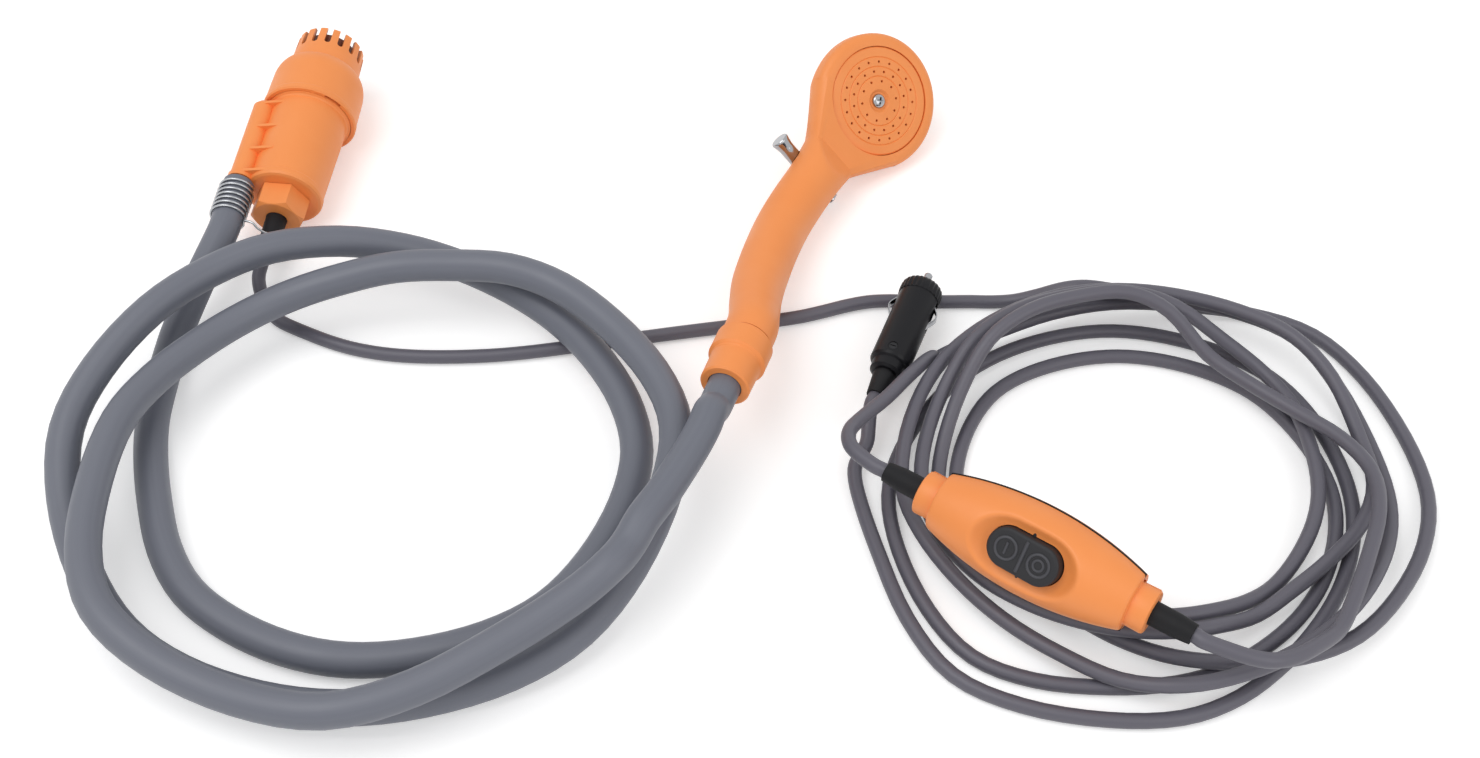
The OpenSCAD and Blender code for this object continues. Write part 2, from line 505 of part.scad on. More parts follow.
// switch case: a spindle about X, cut flat below, halves with a gasket between
end_r = 13.4;
bow = (pow(case_half, 2) + pow(case_w - end_r, 2)) / (2 * (case_w - end_r));
function bow_r(x) = sqrt(bow * bow - x * x) - (bow - case_w);
case_low = -10;
sleeve_tip = case_half + 28;
cable_seat = sleeve_tip - 8.3;
module spindle(inset) along_x() rotate_extrude() polygon(concat([[0, -case_half]],
  [for (i = [-12:12]) let (x = case_half * i / 12) [bow_r(x) - inset, x]], [[0, case_half]]));
module spouts(r) for (flip = [0, 1]) mirror([flip, 0, 0]) along_x() rotate_extrude() polygon([
  [0, case_half - 3], [r - 0.3, case_half - 3], [r, case_half + 7.8], [r - 1, case_half + 9],
  [0, case_half + 9]]);
module slab(z1, z2) translate([-90, -40, z1]) cube([180, 80, z2 - z1]);
pad_x = 8;
pad_r = 9.2;
pivot_z = 12;
module stadium(r1, r2, z1, z2) hull() for (s = [-1, 1]) translate([s * pad_x, 0, z1])
  cylinder(r1 = r1, r2 = r2, h = z2 - z1, $fn = 48);
module sleeve_bores() along_x() {
  rod(5.7, -80, 80);
  rod(7.6, -case_half - 1, case_half + 1);
}
screw_at = [[-32, -9], [-32, 9], [32, -9], [32, 9]];
module switch_top() color(orange) on_switch() difference() {
  union() {
    intersection() {
      union() {
        difference() {
          spindle(0);
          spindle(2.2);
        }
        intersection() {
          spindle(0.05);
          union() {
            stadium(13.4, 21.2, 11, 21);
            for (p = screw_at) translate([p[0], p[1], 0]) rod(3.2, 0.6, 14);
          }
        }
        spouts(spout_r);
      }
      slab(0.6, 40);
    }
    for (s = [-1, 1]) translate([-3, s * 12.6 - 1.1, 8.5]) cube([6, 2.2, 4.5]);
  }
  stadium(11.2, 19, 13.2, 23);
  stadium(pad_r + 0.45, pad_r + 0.45, 1, 25);
  sleeve_bores();
  for (p = screw_at) translate([p[0], p[1], 0]) rod(1.35, -20, 10);
  translate([0, 0, pivot_z]) rotate([90, 0, 0]) rod(1.52, -14.2, 14.2);
}
module switch_base() color(orange) on_switch() difference() {
  intersection() {
    union() {
      difference() {
        spindle(0);
        intersection() {
          spindle(2.2);
          slab(case_low + 2.2, 2);
        }
      }
      for (p = screw_at) translate([p[0], p[1], 0]) rod(3.6, case_low, -0.6);
      spouts(spout_r);
    }
    slab(case_low, -0.6);
    union() {
      spindle(0);
      spouts(spout_r);
    }
  }
  sleeve_bores();
  for (p = screw_at) translate([p[0], p[1], 0]) {
    rod(1.5, -20, 2);
    rod(2.9, -20, case_low + 2.8);
  }
}
module case_gasket() color(black) on_switch() difference() {
  intersection() {
    spindle(-0.5);
    slab(-0.6, 0.6);
  }
  intersection() {
    spindle(1.8);
    slab(-2, 2);
  }
  for (p = screw_at) translate([p[0], p[1], 0]) rod(3.8, -2, 2);
  along_x() {
    rod(7.6, -90, -case_half + 2.5);
    rod(7.6, case_half - 2.5, 90);
  }
}
rocker_rest = -4;
module on_rocker() translate([0, 0, pivot_z]) rotate([0, rocker_rest, 0])
  translate([0, 0, -pivot_z]) children();
module rocker() color(black) on_switch() on_rocker() difference() {
  union() {
    stadium(pad_r, pad_r, 8.5, 17);
    stadium(pad_r, pad_r - 1.2, 17, 18);
    translate([-0.7, 1.2 - pad_r, 17.5]) cube([1.4, 2 * pad_r - 2.4, 1.1]);
    for (s = [-1, 1]) translate([s * pad_x, 0, 0]) ring(3.6, 4.4, 17.5, 18.35);
  }
  translate([0, 0, pivot_z]) rotate([90, 0, 0]) rod(1.56, -20, 20);
  stadium(pad_r - 2.9, pad_r - 2.9, 5, 10);
}
module rocker_pin() color(steel) on_switch() translate([0, 0, pivot_z]) rotate([90, 0, 0])
  rod(1.5, -14, 14);
module switch_block() color(black) on_switch() difference() {
  translate([-14, -6, case_low + 2.3]) cube([28, 12, 12.5]);
  translate([-11, -4, 1]) cube([22, 8, 6]);
}
module switch_terminals() color(copper) on_switch() for (s = [-1, 1])
  translate([s * 17 - 2.8, -2.5, -5]) cube([5.6, 5, 0.8]);
module case_screws() color(steel) on_switch() for (p = screw_at) translate([p[0], p[1], 0]) {
  rod(1.3, case_low + 2.5, 8);
  difference() {
    rod(2.7, case_low + 0.4, case_low + 2.7);
    translate([-2, -0.35, case_low]) cube([4, 0.7, 1.3]);
    translate([-0.35, -2, case_low]) cube([0.7, 4, 1.3]);
  }
}
module sleeve(flip) mirror([flip, 0, 0]) along_x() difference() {
  rotate_extrude() polygon([[0, case_half - 1.6], [7.4, case_half - 1.6], [7.4, case_half + 0.9],
    [5.6, case_half + 0.9], [5.5, sleeve_tip - 8], [4.7, sleeve_tip], [0, sleeve_tip]]);
  rod(cable_r + 0.1, cable_seat - 0.2, sleeve_tip + 1);
}
module sleeve_left() color(black) on_switch() sleeve(1);
module sleeve_right() color(black) on_switch() sleeve(0);

// plug, worked out from the rear of its body towards the tip
ring_len = 6;
// how far the tip stands out of the ring
tip_out = 4.4;
tip_z = plug_len + ring_len + tip_out;
module plug_body() color(black) on_plug() difference() {
  rotate_extrude() polygon([[0, 0], [6.6, 0], [8.2, 1], [8.4, 5.5], [plug_r - 0.8, 6.2], [plug_r, 7.4],
    [plug_r, plug_len - 4.2], [plug_r - 0.8, plug_len - 2.6], [plug_r - 2.4, plug_len], [0, plug_len]]);
  rod(3.65, 16, plug_len + 1);
  rod(4.9, plug_len - 4.4, plug_len + 1);
  rod(5.2, -1, 4);
  for (s = [0, 180]) rotate(s) translate([7.2, -2.3, plug_len - 24]) cube([6, 4.6, 20]);
  translate([0, 0, 11]) rotate([-90, 0, 0]) rod(2.3, plug_r - 1.6, plug_r + 2);
  translate([0, 0, 11]) rotate([-90, 0, 0]) rod(1.1, plug_r - 6.4, plug_r + 2);
}
module plug_ring() color(black) on_plug() difference() {
  rotate_extrude() polygon([[0, plug_len + 0.1], [7.4, plug_len + 0.1], [7.6, plug_len + 1],
    [7.6, plug_len + ring_len - 3], [6, plug_len + ring_len - 0.6], [5.4, plug_len + ring_len],
    [0, plug_len + ring_len]]);
  rod(4.9, plug_len - 1, plug_len + ring_len - 2);
  rod(3.3, plug_len, plug_len + ring_len + 1);
}
module plug_tip() color(steel) on_plug() rotate_extrude() polygon([[0, plug_len - 1.8],
  [2.9, plug_len - 1.8], [2.9, plug_len - 1], [4.4, plug_len - 1],
  [4.4, plug_len + ring_len - 2.4], [2.9, plug_len + ring_len - 2.4], [2.9, tip_z - 2.2], [2.4, tip_z - 1],
  [1.5, tip_z - 0.2], [0, tip_z]]);
module plug_fuse() color([0.8, 0.85, 0.86]) on_plug() rod(3.1, plug_len - 32, plug_len - 1.9);
spring_rings = 64;
module tip_spring() color(steel) on_plug() tube([for (i = [0:spring_rings]) let (a = 22.5 * i)
  [2.5 * cos(a), 2.5 * sin(a), 16.6 + (plug_len - 49.5) * i / spring_rings]], 0.4, 6);
module leaf() translate([0, 2, plug_len - 23]) rotate([90, 0, 0]) linear_extrude(4) polygon([[8.6, 0.4],
  [9.3, 0.4], [9.6, 3], [10.9, 6], [11.5, 9], [10.9, 12], [9.6, 15], [9.3, 17.4], [8.6, 17.4],
  [8.9, 14.8], [10.2, 11.8], [10.8, 9], [10.2, 6.2], [8.9, 3.2]]);
module contact_left() color(steel) on_plug() leaf();
module contact_right() color(steel) on_plug() rotate(180) leaf();
module plug_screw() color(steel) on_plug() translate([0, 0, 11]) rotate([-90, 0, 0]) difference() {
  union() {
    rod(2.1, plug_r - 1.5, plug_r - 0.4);
    rod(1, plug_r - 6, plug_r - 1);
  }
  translate([-1.5, -0.3, plug_r - 0.9]) cube([3, 0.6, 2]);
}
module plug_sleeve() color(black) on_plug() difference() {
  rotate_extrude() polygon([[0, 3.8], [5, 3.8], [5, -1], [5.6, -1.2], [5.6, -3], [4.6, -14], [0, -14]]);
  rod(cable_r + 0.1, -20, -7);
}

module pump_lead() color(slate) tube(pump_laid(), cable_r, 8, 0, lead_rings - 1);
module cable_coil() color(slate) {
  P = pump_laid();
  echo(pump_cable_length = norm_sum(P), coil_least_gap = least_gap(P, cable_r, P, cable_r, own_rings),
    between_cables = least_gap(P, cable_r, plug_laid(), cable_r, -1),
    lead_to_hose = least_gap(P, cable_r, hose_laid(), hose_r, -1));
  tube(P, cable_r, 6, lead_rings - 1);
}
module plug_cable() color(slate) {
  P = plug_laid();
  echo(plug_cable_length = norm_sum(P), plug_coil_least_gap = least_gap(P, cable_r, P, cable_r, own_rings));
  tube(P, cable_r, 6);
}

pump_body();
strainer_cap();
cap_seal();
chamber_plate();
impeller();
motor_shaft();
armature_core();
commutator();
motor_can();
motor_end_cap();
field_magnets();
brush_pair();
motor_sleeve();
shaft_seal();
gland_nut();
gland_seal();
pump_sleeve();
binding_wire();
hose();
head_shell();
spray_plate();
plate_seal();
plate_screw();
valve_stem();
push_button();
valve_rings();
stem_clip();
hose_collar();
hose_nipple();
switch_top();
switch_base();
case_gasket();
rocker();
rocker_pin();
switch_block();
switch_terminals();
case_screws();
sleeve_left();
sleeve_right();
plug_body();
plug_ring();
plug_tip();
plug_fuse();
tip_spring();
contact_left();
contact_right();
plug_screw();
plug_sleeve();
pump_lead();
cable_coil();
plug_cable();
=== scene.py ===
# %% [markdown]
# # A camp shower pump set
# The object is a small twelve-volt pump that goes into a bucket, a hose, a hand shower, and a cable
# with an in-line switch and a car plug. It lies spread out on a pale floor. The solids come from the
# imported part. Each step below makes one piece or one finish over them, in the same frame, in metres.

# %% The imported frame
import json

import bpy
import numpy as np
from mathutils import Matrix, Vector


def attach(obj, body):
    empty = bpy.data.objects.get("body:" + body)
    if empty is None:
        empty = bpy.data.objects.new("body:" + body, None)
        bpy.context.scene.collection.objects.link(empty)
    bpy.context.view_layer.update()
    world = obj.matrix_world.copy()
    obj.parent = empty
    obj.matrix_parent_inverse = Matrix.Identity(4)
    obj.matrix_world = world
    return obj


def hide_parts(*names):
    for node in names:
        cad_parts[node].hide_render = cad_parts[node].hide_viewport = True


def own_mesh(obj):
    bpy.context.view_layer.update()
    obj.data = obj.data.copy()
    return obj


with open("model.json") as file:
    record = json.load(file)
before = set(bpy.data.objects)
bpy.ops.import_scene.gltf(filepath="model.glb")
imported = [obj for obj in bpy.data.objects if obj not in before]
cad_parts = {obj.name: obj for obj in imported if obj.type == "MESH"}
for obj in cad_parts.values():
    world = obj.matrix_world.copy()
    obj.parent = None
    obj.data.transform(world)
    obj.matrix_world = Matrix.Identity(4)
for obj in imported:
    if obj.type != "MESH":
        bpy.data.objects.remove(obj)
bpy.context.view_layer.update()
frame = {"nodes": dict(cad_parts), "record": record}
nodes = frame["nodes"]
MM = 0.001

# %% [markdown]
# ## Where the hard pieces lie
# Pump, hand shower, plug and switch lie askew on the floor. They could be drawn there straight away,
# but a turned shape is far easier to work out about its own axis. So a piece is worked out in
# millimetres along that axis first, and a turn and a place then lay it on the floor. They repeat the
# part's own values, so that nothing has to be fitted by eye. The pump rests on two rims of unequal
# size, which gives its tilt and its height.

# %% Turns and places
# the middle of the layout on the floor, in the part's own frame
SHIFT = np.array([81.5, -87.3, 0.0])
BODY_LEN, BODY_R, CAP_R = 56.0, 20.5, 25.6
RIM_BACK, RIM_FRONT = 1.8, BODY_LEN + 1.2


def turn(axis, degrees):
    """Rotation matrix about one of the three axes: cosines on the diagonal, sines off it."""
    c, s = np.cos(np.radians(degrees)), np.sin(np.radians(degrees))
    i, j = {"x": (1, 2), "y": (2, 0), "z": (0, 1)}[axis]
    m = np.eye(3)
    m[i, i] = m[j, j] = c
    m[i, j], m[j, i] = -s, s
    return m


LYING = turn("z", 180) @ turn("x", 90)
pump_tilt = np.degrees(np.arctan((CAP_R - BODY_R) / (RIM_FRONT - RIM_BACK)))
pump_height = BODY_R * np.cos(np.radians(pump_tilt)) - RIM_BACK * np.sin(np.radians(pump_tilt))
PLACES = {
    "pump": (turn("z", -6) @ turn("x", pump_tilt) @ LYING, SHIFT + [-242, 108, pump_height]),
    "head": (turn("z", -18.6) @ turn("x", -4.8) @ turn("y", 46) @ LYING, SHIFT + [-7.3, -40.4, 42.8]),
    "plug": (turn("z", -22) @ turn("x", 3) @ LYING, SHIFT + [71, -10, 15.5]),
    "switch": (turn("z", -34.5) @ turn("x", 51), SHIFT + [128.2, -132.5, 42]),
}


def place(name, points):
    """Points in a hard piece's own millimetres, turned and moved to where it lies."""
    matrix, at = PLACES[name]
    return np.asarray(points, float) @ matrix.T + at


print("pump tilt", round(pump_tilt, 2), "degrees, axis", round(pump_height, 2), "mm up at its rear")

# %% [markdown]
# ## Camera
# The picture looks down on the floor at fifty degrees. The camera could be aimed by hand, but it is
# worked out here: the middle of the picture is the floor point that the layout is measured from, and
# the camera stands back from it along the line of sight. A normal lens keeps the far pump only a
# little smaller.

# %% Camera
LOOK_DOWN, DISTANCE, LENS, SENSOR = 50.0, 900.0, 43.78, 36.0
scene = bpy.context.scene
camera_data = bpy.data.cameras.new("camera")
camera_data.lens, camera_data.sensor_width, camera_data.sensor_fit = LENS, SENSOR, "HORIZONTAL"
camera = bpy.data.objects.new("camera", camera_data)
scene.collection.objects.link(camera)
slope = np.radians(LOOK_DOWN)
target = Vector(SHIFT * MM)
camera.location = target + Vector((0, -np.cos(slope), np.sin(slope))) * DISTANCE * MM
camera.rotation_euler = (target - camera.location).to_track_quat("-Z", "Y").to_euler()
scene.camera = camera
print("camera at", tuple(round(c, 3) for c in camera.location))

# %% [markdown]
# ## Meshes from grids
# Nearly every new piece is one closed skin. It could be put together from primitives, but those leave
# seams where they meet. So it is a grid of points: one parameter runs along the piece and the other
# round it. The grid is worked out as one array, and its quads are index arithmetic, so no loop runs
# over the points. A UV map in real metres goes with it, for patterns that follow the surface.

# %% Faces and UV of a grid


def unit(v):
    """Vectors at length one."""
    return v / np.linalg.norm(v, axis=-1, keepdims=True)


def around(sides):
    """Angles of so many points, evenly round a circle."""
    return np.linspace(0, 2 * np.pi, sides, endpoint=False)


def skin_faces(rows, cols, base):
    """Quads of one grid, closed round, and a fan at each end to the two points after the grid."""
    i, j = np.meshgrid(np.arange(rows - 1), np.arange(cols), indexing="ij")
    k = (j + 1) % cols
    quads = np.stack([i * cols + j, i * cols + k, (i + 1) * cols + k, (i + 1) * cols + j], -1)
    ring, after = np.arange(cols), (np.arange(cols) + 1) % cols
    first, last = rows * cols, rows * cols + 1
    start = np.stack([after, ring, np.full(cols, first)], -1)
    end = np.stack([(rows - 1) * cols + ring, (rows - 1) * cols + after, np.full(cols, last)], -1)
    return (quads.reshape(-1, 4) + base).tolist() + (start + base).tolist() + (end + base).tolist()


def skin_uv(grid):
    """UV of one grid's faces in metres: U along from the first row, V round; the fans get nought."""
    rows, cols = grid.shape[:2]
    i, j = np.meshgrid(np.arange(rows - 1), np.arange(cols), indexing="ij")
    step = np.linalg.norm(np.diff(grid.mean(1), axis=0), axis=1)
    u = np.concatenate([[0], np.cumsum(step)]) * MM
    girth = np.linalg.norm(grid - np.roll(grid, -1, 1), axis=2).sum(1).mean() * MM
    v = np.arange(cols + 1) / cols * girth
    corner_u = np.stack([u[i], u[i], u[i + 1], u[i + 1]], -1).ravel()
    corner_v = np.stack([v[j], v[j + 1], v[j + 1], v[j]], -1).ravel()
    return np.vstack([np.stack([corner_u, corner_v], -1), np.zeros((6 * cols, 2))])


print("a skin of 3 rows and 8 columns has", len(skin_faces(3, 8, 0)), "faces")

# %% [markdown]
# ### From a grid to a piece
# A piece is an object at the origin with its place in its mesh, as the solids have it. Shading is
# smooth, apart from edges sharper than a set angle, so a bevel is only needed where it shows. A finished
# piece then rides on a body of the part and stands for the solids it covers.

# %% Objects from grids


def grid_object(name, grids, material, smooth_angle=40.0):
    """One object from closed skins over grids of points in millimetres: rows run along, columns round,
    and each end row is closed to its middle. Edges sharper than the angle stay sharp."""
    points, faces, uv, base = [], [], [], 0
    for grid in grids:
        rows, cols = grid.shape[:2]
        points += [grid.reshape(-1, 3), grid[:1].mean(1), grid[-1:].mean(1)]
        faces += skin_faces(rows, cols, base)
        uv.append(skin_uv(grid))
        base += rows * cols + 2
    mesh = bpy.data.meshes.new(name)
    mesh.from_pydata((np.vstack(points) * MM).tolist(), [], faces)
    mesh.uv_layers.new(name="along").data.foreach_set("uv", np.vstack(uv).astype(np.float32).ravel())
    mesh.validate()
    mesh.polygons.foreach_set("use_smooth", np.ones(len(mesh.polygons), bool))
    mesh.set_sharp_from_angle(angle=np.radians(smooth_angle))
    mesh.materials.append(material)
    piece = bpy.data.objects.new(name, mesh)
    scene.collection.objects.link(piece)
    return piece


def settle(piece, body, slot, *stands_for):
    """Rides a finished piece on its body and hides the solids it stands for. Its slot is not used."""
    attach(piece, body)
    if stands_for:
        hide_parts(*stands_for)
    print(piece.name, "faces", len(piece.data.polygons), "for", stands_for)
    return piece


# %% [markdown]
# ## Finishes
# Each finish starts from the real stuff: moulded ABS, extruded PVC, moulded rubber, plated brass. One
# flat colour would look like paint, so grain and wear are noise in object space, at real sizes, and go
# into colour, roughness and bump. The colours are written as sRGB hex, as a colour picker shows them,
# and turned to linear.

# %% Colour and node helpers
# nearly all of a noise's values lie between these two
NOISE_LOW, NOISE_HIGH = 0.3, 0.7


def linear(code):
    """Linear colour from an sRGB hex code, by the standard's toe and power."""
    c = np.array([int(code[i : i + 2], 16) for i in (1, 3, 5)]) / 255
    return (*np.where(c <= 0.04045, c / 12.92, ((c + 0.055) / 1.055) ** 2.4), 1.0)


def add(tree, kind, links=None, **settings):
    """Adds a node, sets its properties or input values, and links sockets given as name: socket."""
    node = tree.nodes.new(kind)
    for key, value in settings.items():
        if hasattr(node, key):
            setattr(node, key, value)
        else:
            node.inputs[key.replace("_", " ")].default_value = value
    for key, socket in (links or {}).items():
        tree.links.new(socket, node.inputs[key])
    return node


def blank(name):
    """A new material, its tree and its shader."""
    material = bpy.data.materials.new(name)
    material.use_nodes = True
    tree = material.node_tree
    return material, tree, tree.nodes["Principled BSDF"]


def feed(tree, shader, sockets):
    """Links sockets to a shader's inputs, given as name: socket."""
    for name, socket in sockets.items():
        tree.links.new(socket, shader.inputs[name])


def per_mm(size):
    """Noise scale whose lumps are about that many millimetres across."""
    return 1.0 / (size * MM)


print("sRGB #808080 is", round(float(linear("#808080")[0]), 3), "in linear light")

# %% [markdown]
# ### Moulded plastics and rubber
# A moulded skin copies its tool: a fine spark-eroded grain of a few tenths of a millimetre, drawn
# here a little coarser so that it shows, and slow waves of colour where the melt cooled unevenly.
# Handling polishes some patches, so the slow noise also moves the roughness. An image could give the
# grain, but noise in object space needs no unwrapping and shows no seam.

# %% Moulded finishes
MELT_MM, GRAIN_STRENGTH = 22, 0.5
MOULD_POLISH, MOULD_DULL = 0.05, 0.06


def moulded(name, base, shade, roughness, grain_mm, grain_depth_mm, specular=0.5):
    """Plastic or rubber: two close tones by a slow noise, patchy roughness, fine grain as bump."""
    material, tree, shader = blank(name)
    here = add(tree, "ShaderNodeTexCoord").outputs["Object"]
    slow = add(tree, "ShaderNodeTexNoise", {"Vector": here}, Scale=per_mm(MELT_MM), Detail=3.0)
    grain = add(tree, "ShaderNodeTexNoise", {"Vector": here}, Scale=per_mm(grain_mm), Detail=2.0)
    tone = add(tree, "ShaderNodeMix", {"Factor": slow.outputs["Fac"]}, data_type="RGBA")
    tone.inputs[6].default_value, tone.inputs[7].default_value = linear(base), linear(shade)
    rough = add(tree, "ShaderNodeMapRange", {"Value": slow.outputs["Fac"]}, From_Min=NOISE_LOW,
                From_Max=NOISE_HIGH, To_Min=roughness - MOULD_POLISH, To_Max=roughness + MOULD_DULL)
    bump = add(tree, "ShaderNodeBump", {"Height": grain.outputs["Fac"]}, Strength=GRAIN_STRENGTH,
               Distance=grain_depth_mm * MM)
    feed(tree, shader, {"Base Color": tone.outputs[2], "Roughness": rough.outputs["Result"],
                        "Normal": bump.outputs["Normal"]})
    shader.inputs["Specular IOR Level"].default_value = specular
    return material


# ABS from a spark-eroded tool: a full even colour under a broad soft sheen
orange_abs = moulded("orange_moulded_abs", "#FA9A54", "#F5924B", 0.46, 0.9, 0.05)
# the same in black, where little light comes back and the sheen is faint
black_abs = moulded("black_moulded_abs", "#141417", "#1B1B1F", 0.38, 0.9, 0.04, specular=0.2)
# moulded rubber: as dark, but matt, with no clear highlight
black_rubber = moulded("black_moulded_rubber", "#141416", "#1B1B1E", 0.6, 0.7, 0.06, specular=0.25)
# the rocker's black rubber, painted a shade greyer as painted light on its flat top
pad_rubber_painted_light = moulded("rocker_rubber_painted_light", "#1E1E21", "#27272B", 0.6, 0.7, 0.06, specular=0.4)
# the raised marks in black rubber, painted a lighter grey as painted highlight on their relief, and a
# little smoother
marks_rubber_painted_highlight = moulded("rocker_marks_painted_highlight", "#3A3A3F", "#434349", 0.5, 0.7, 0.03)
# pressed and sintered magnet powder: dark grey and dry
ferrite = moulded("sintered_ferrite", "#3C3C40", "#4A4A50", 0.6, 0.6, 0.04)
# glazed ceramic: nearly white, and shinier than the plastics
fuse_ceramic = moulded("fuse_ceramic", "#D8DCDC", "#E4E6E4", 0.3, 1.2, 0.02)
print("moulded finishes:", orange_abs.name, black_abs.name, black_rubber.name, "and four more")

# %% [markdown]
# ### Painted shade in the strainer
# The inside of the strainer's crown is painted darker, as painted shade for the deep hollow between its
# fingers. A second skin could be laid in there, but the crown's own solid is right, so only its finish
# changes. The painted shade is the plain finish with a second colour mixed in by place: the coordinates
# are turned back into the pump's own, where the distance from the axis and the height along it tell the
# inside of the crown.

# %% Finish with painted shade
# where the painted shade lies in the crown: between two radii, beyond a height along the axis
SHADE_RADII, SHADE_FROM, SHADE_EDGE = (18.2, 15.8), BODY_LEN + 30, 0.5


def paint_crown_shade(name, plain_finish, painted_shade, piece, radii, start):
    """A copy of a finish that goes over to a painted shade between two radii from a hard piece's axis,
    outer and inner in millimetres, beyond a height along that axis."""
    material = plain_finish.copy()
    material.name = name
    tree = material.node_tree
    shader = tree.nodes["Principled BSDF"]
    turned_by, at = PLACES[piece]
    here = add(tree, "ShaderNodeTexCoord").outputs["Object"]
    own = add(tree, "ShaderNodeMapping", {"Vector": here}, vector_type="TEXTURE", Location=at * MM,
              Rotation=Matrix(turned_by.tolist()).to_euler()).outputs["Vector"]
    across = add(tree, "ShaderNodeVectorMath", {0: own}, operation="MULTIPLY")
    across.inputs[1].default_value = (1, 1, 0)
    reach = add(tree, "ShaderNodeVectorMath", {0: across.outputs["Vector"]}, operation="LENGTH")
    height = add(tree, "ShaderNodeSeparateXYZ", {"Vector": own}).outputs["Z"]
    within = add(tree, "ShaderNodeMapRange", {"Value": reach.outputs["Value"]},
                 From_Min=radii[0] * MM, From_Max=radii[1] * MM)
    beyond = add(tree, "ShaderNodeMapRange", {"Value": height},
                 From_Min=(start - SHADE_EDGE) * MM, From_Max=(start + SHADE_EDGE) * MM)
    share = {0: within.outputs["Result"], 1: beyond.outputs["Result"]}
    inside = add(tree, "ShaderNodeMath", share, operation="MULTIPLY")
    plain_tone = shader.inputs["Base Color"].links[0].from_socket
    # the second colour is painted shade, mixed in where the mask is one
    mix = {"Factor": inside.outputs[0], 6: plain_tone}
    tone = add(tree, "ShaderNodeMix", mix, data_type="RGBA")
    tone.inputs[7].default_value = linear(painted_shade)
    feed(tree, shader, {"Base Color": tone.outputs[2]})
    return material


# dark brown painted shade inside the strainer's crown
orange_abs_painted_shade = paint_crown_shade("orange_moulded_abs_painted_shade", orange_abs, "#7C3A18", "pump", SHADE_RADII, SHADE_FROM)
print("stain within", SHADE_RADII, "mm of the axis, from", SHADE_FROM, "mm along it")

# %% [markdown]
# ### Extruded PVC
# Hose and cable come out of a die, so their skin has faint lines along the length and none across.
# Object coordinates can't follow a cord through its bends, so the lines go by the piece's own UV map:
# U runs along in metres, V round.

# %% Extruded finishes
STREAK_MM, HANDLED_MM = 220, 40
LINE_DEPTH_MM, LINE_STRENGTH = 0.05, 0.35
DIE_POLISH, DIE_DULL = 0.05, 0.07


def extruded(name, base, shade, roughness, line_mm):
    """Soft PVC: noise stretched a hundred times along the length, for die lines and streaks."""
    material, tree, shader = blank(name)
    uv = add(tree, "ShaderNodeUVMap", uv_map="along").outputs["UV"]
    drawn = add(tree, "ShaderNodeMapping", {"Vector": uv}, Scale=(per_mm(STREAK_MM), per_mm(line_mm), 1))
    lines = add(tree, "ShaderNodeTexNoise", {"Vector": drawn.outputs["Vector"]}, Scale=1.0, Detail=3.0)
    here = add(tree, "ShaderNodeTexCoord").outputs["Object"]
    slow = add(tree, "ShaderNodeTexNoise", {"Vector": here}, Scale=per_mm(HANDLED_MM), Detail=3.0)
    tone = add(tree, "ShaderNodeMix", {"Factor": lines.outputs["Fac"]}, data_type="RGBA")
    tone.inputs[6].default_value, tone.inputs[7].default_value = linear(base), linear(shade)
    rough = add(tree, "ShaderNodeMapRange", {"Value": slow.outputs["Fac"]}, From_Min=NOISE_LOW,
                From_Max=NOISE_HIGH, To_Min=roughness - DIE_POLISH, To_Max=roughness + DIE_DULL)
    bump = add(tree, "ShaderNodeBump", {"Height": lines.outputs["Fac"]}, Strength=LINE_STRENGTH,
               Distance=LINE_DEPTH_MM * MM)
    feed(tree, shader, {"Base Color": tone.outputs[2], "Roughness": rough.outputs["Result"],
                        "Normal": bump.outputs["Normal"]})
    return material


# soft PVC pipe: a bluish slate with a long dull highlight down its side
hose_pvc = extruded("slate_hose_pvc", "#72757F", "#686B76", 0.46, 2.5)
# cable sheath: a little darker and warmer, with finer lines
cable_pvc = extruded("grey_cable_pvc", "#64626C", "#5A5862", 0.45, 1.5)
print("extruded finishes:", hose_pvc.name, cable_pvc.name)

# %% [markdown]
# ### Metals
# The button, stem, pin and screws are plated and polished, the wire is only tinned, and the motor's
# parts are bare. A metal's colour is its reflection, so a noise in its colour would look like dirt.
# The noise goes into the roughness and a faint ripple instead.

# %% Metal finishes
SMOOTHEST, RIPPLE_MM, RIPPLE_STRENGTH = 0.03, 0.01, 0.3
METAL_POLISH, METAL_DULL = 0.05, 0.08


def metal(name, base, roughness, smear_mm):
    """Plated or bare metal: a smear of finger marks and polish in the roughness, faint ripples."""
    material, tree, shader = blank(name)
    here = add(tree, "ShaderNodeTexCoord").outputs["Object"]
    smear = add(tree, "ShaderNodeTexNoise", {"Vector": here}, Scale=per_mm(smear_mm), Detail=4.0)
    rough = add(tree, "ShaderNodeMapRange", {"Value": smear.outputs["Fac"]}, From_Min=NOISE_LOW,
                From_Max=NOISE_HIGH, To_Min=max(roughness - METAL_POLISH, SMOOTHEST),
                To_Max=roughness + METAL_DULL)
    bump = add(tree, "ShaderNodeBump", {"Height": smear.outputs["Fac"]}, Strength=RIPPLE_STRENGTH,
               Distance=RIPPLE_MM * MM)
    feed(tree, shader, {"Roughness": rough.outputs["Result"], "Normal": bump.outputs["Normal"]})
    shader.inputs["Base Color"].default_value = linear(base)
    shader.inputs["Metallic"].default_value = 1.0
    return material


# brass, polished and plated: a near mirror that shows the white floor and dark edges
chrome = metal("chrome_plated_brass", "#A6A7AA", 0.1, 4)
# iron wire out of a tin bath: bright, but its highlights are blurred
tinned_wire = metal("tinned_iron_wire", "#B4B6B9", 0.28, 1.5)
# machined steel with no coat: a plain grey sheen
bare_steel = metal("bare_steel", "#B4B4B2", 0.35, 3)
# copper alloy, worn by the brushes: warm and satin
copper = metal("copper_alloy", "#C08552", 0.35, 3)
# steel blackened in hot oil: nearly as dark as the plastic round it
black_steel = metal("blackened_steel", "#3A3A3C", 0.45, 2)

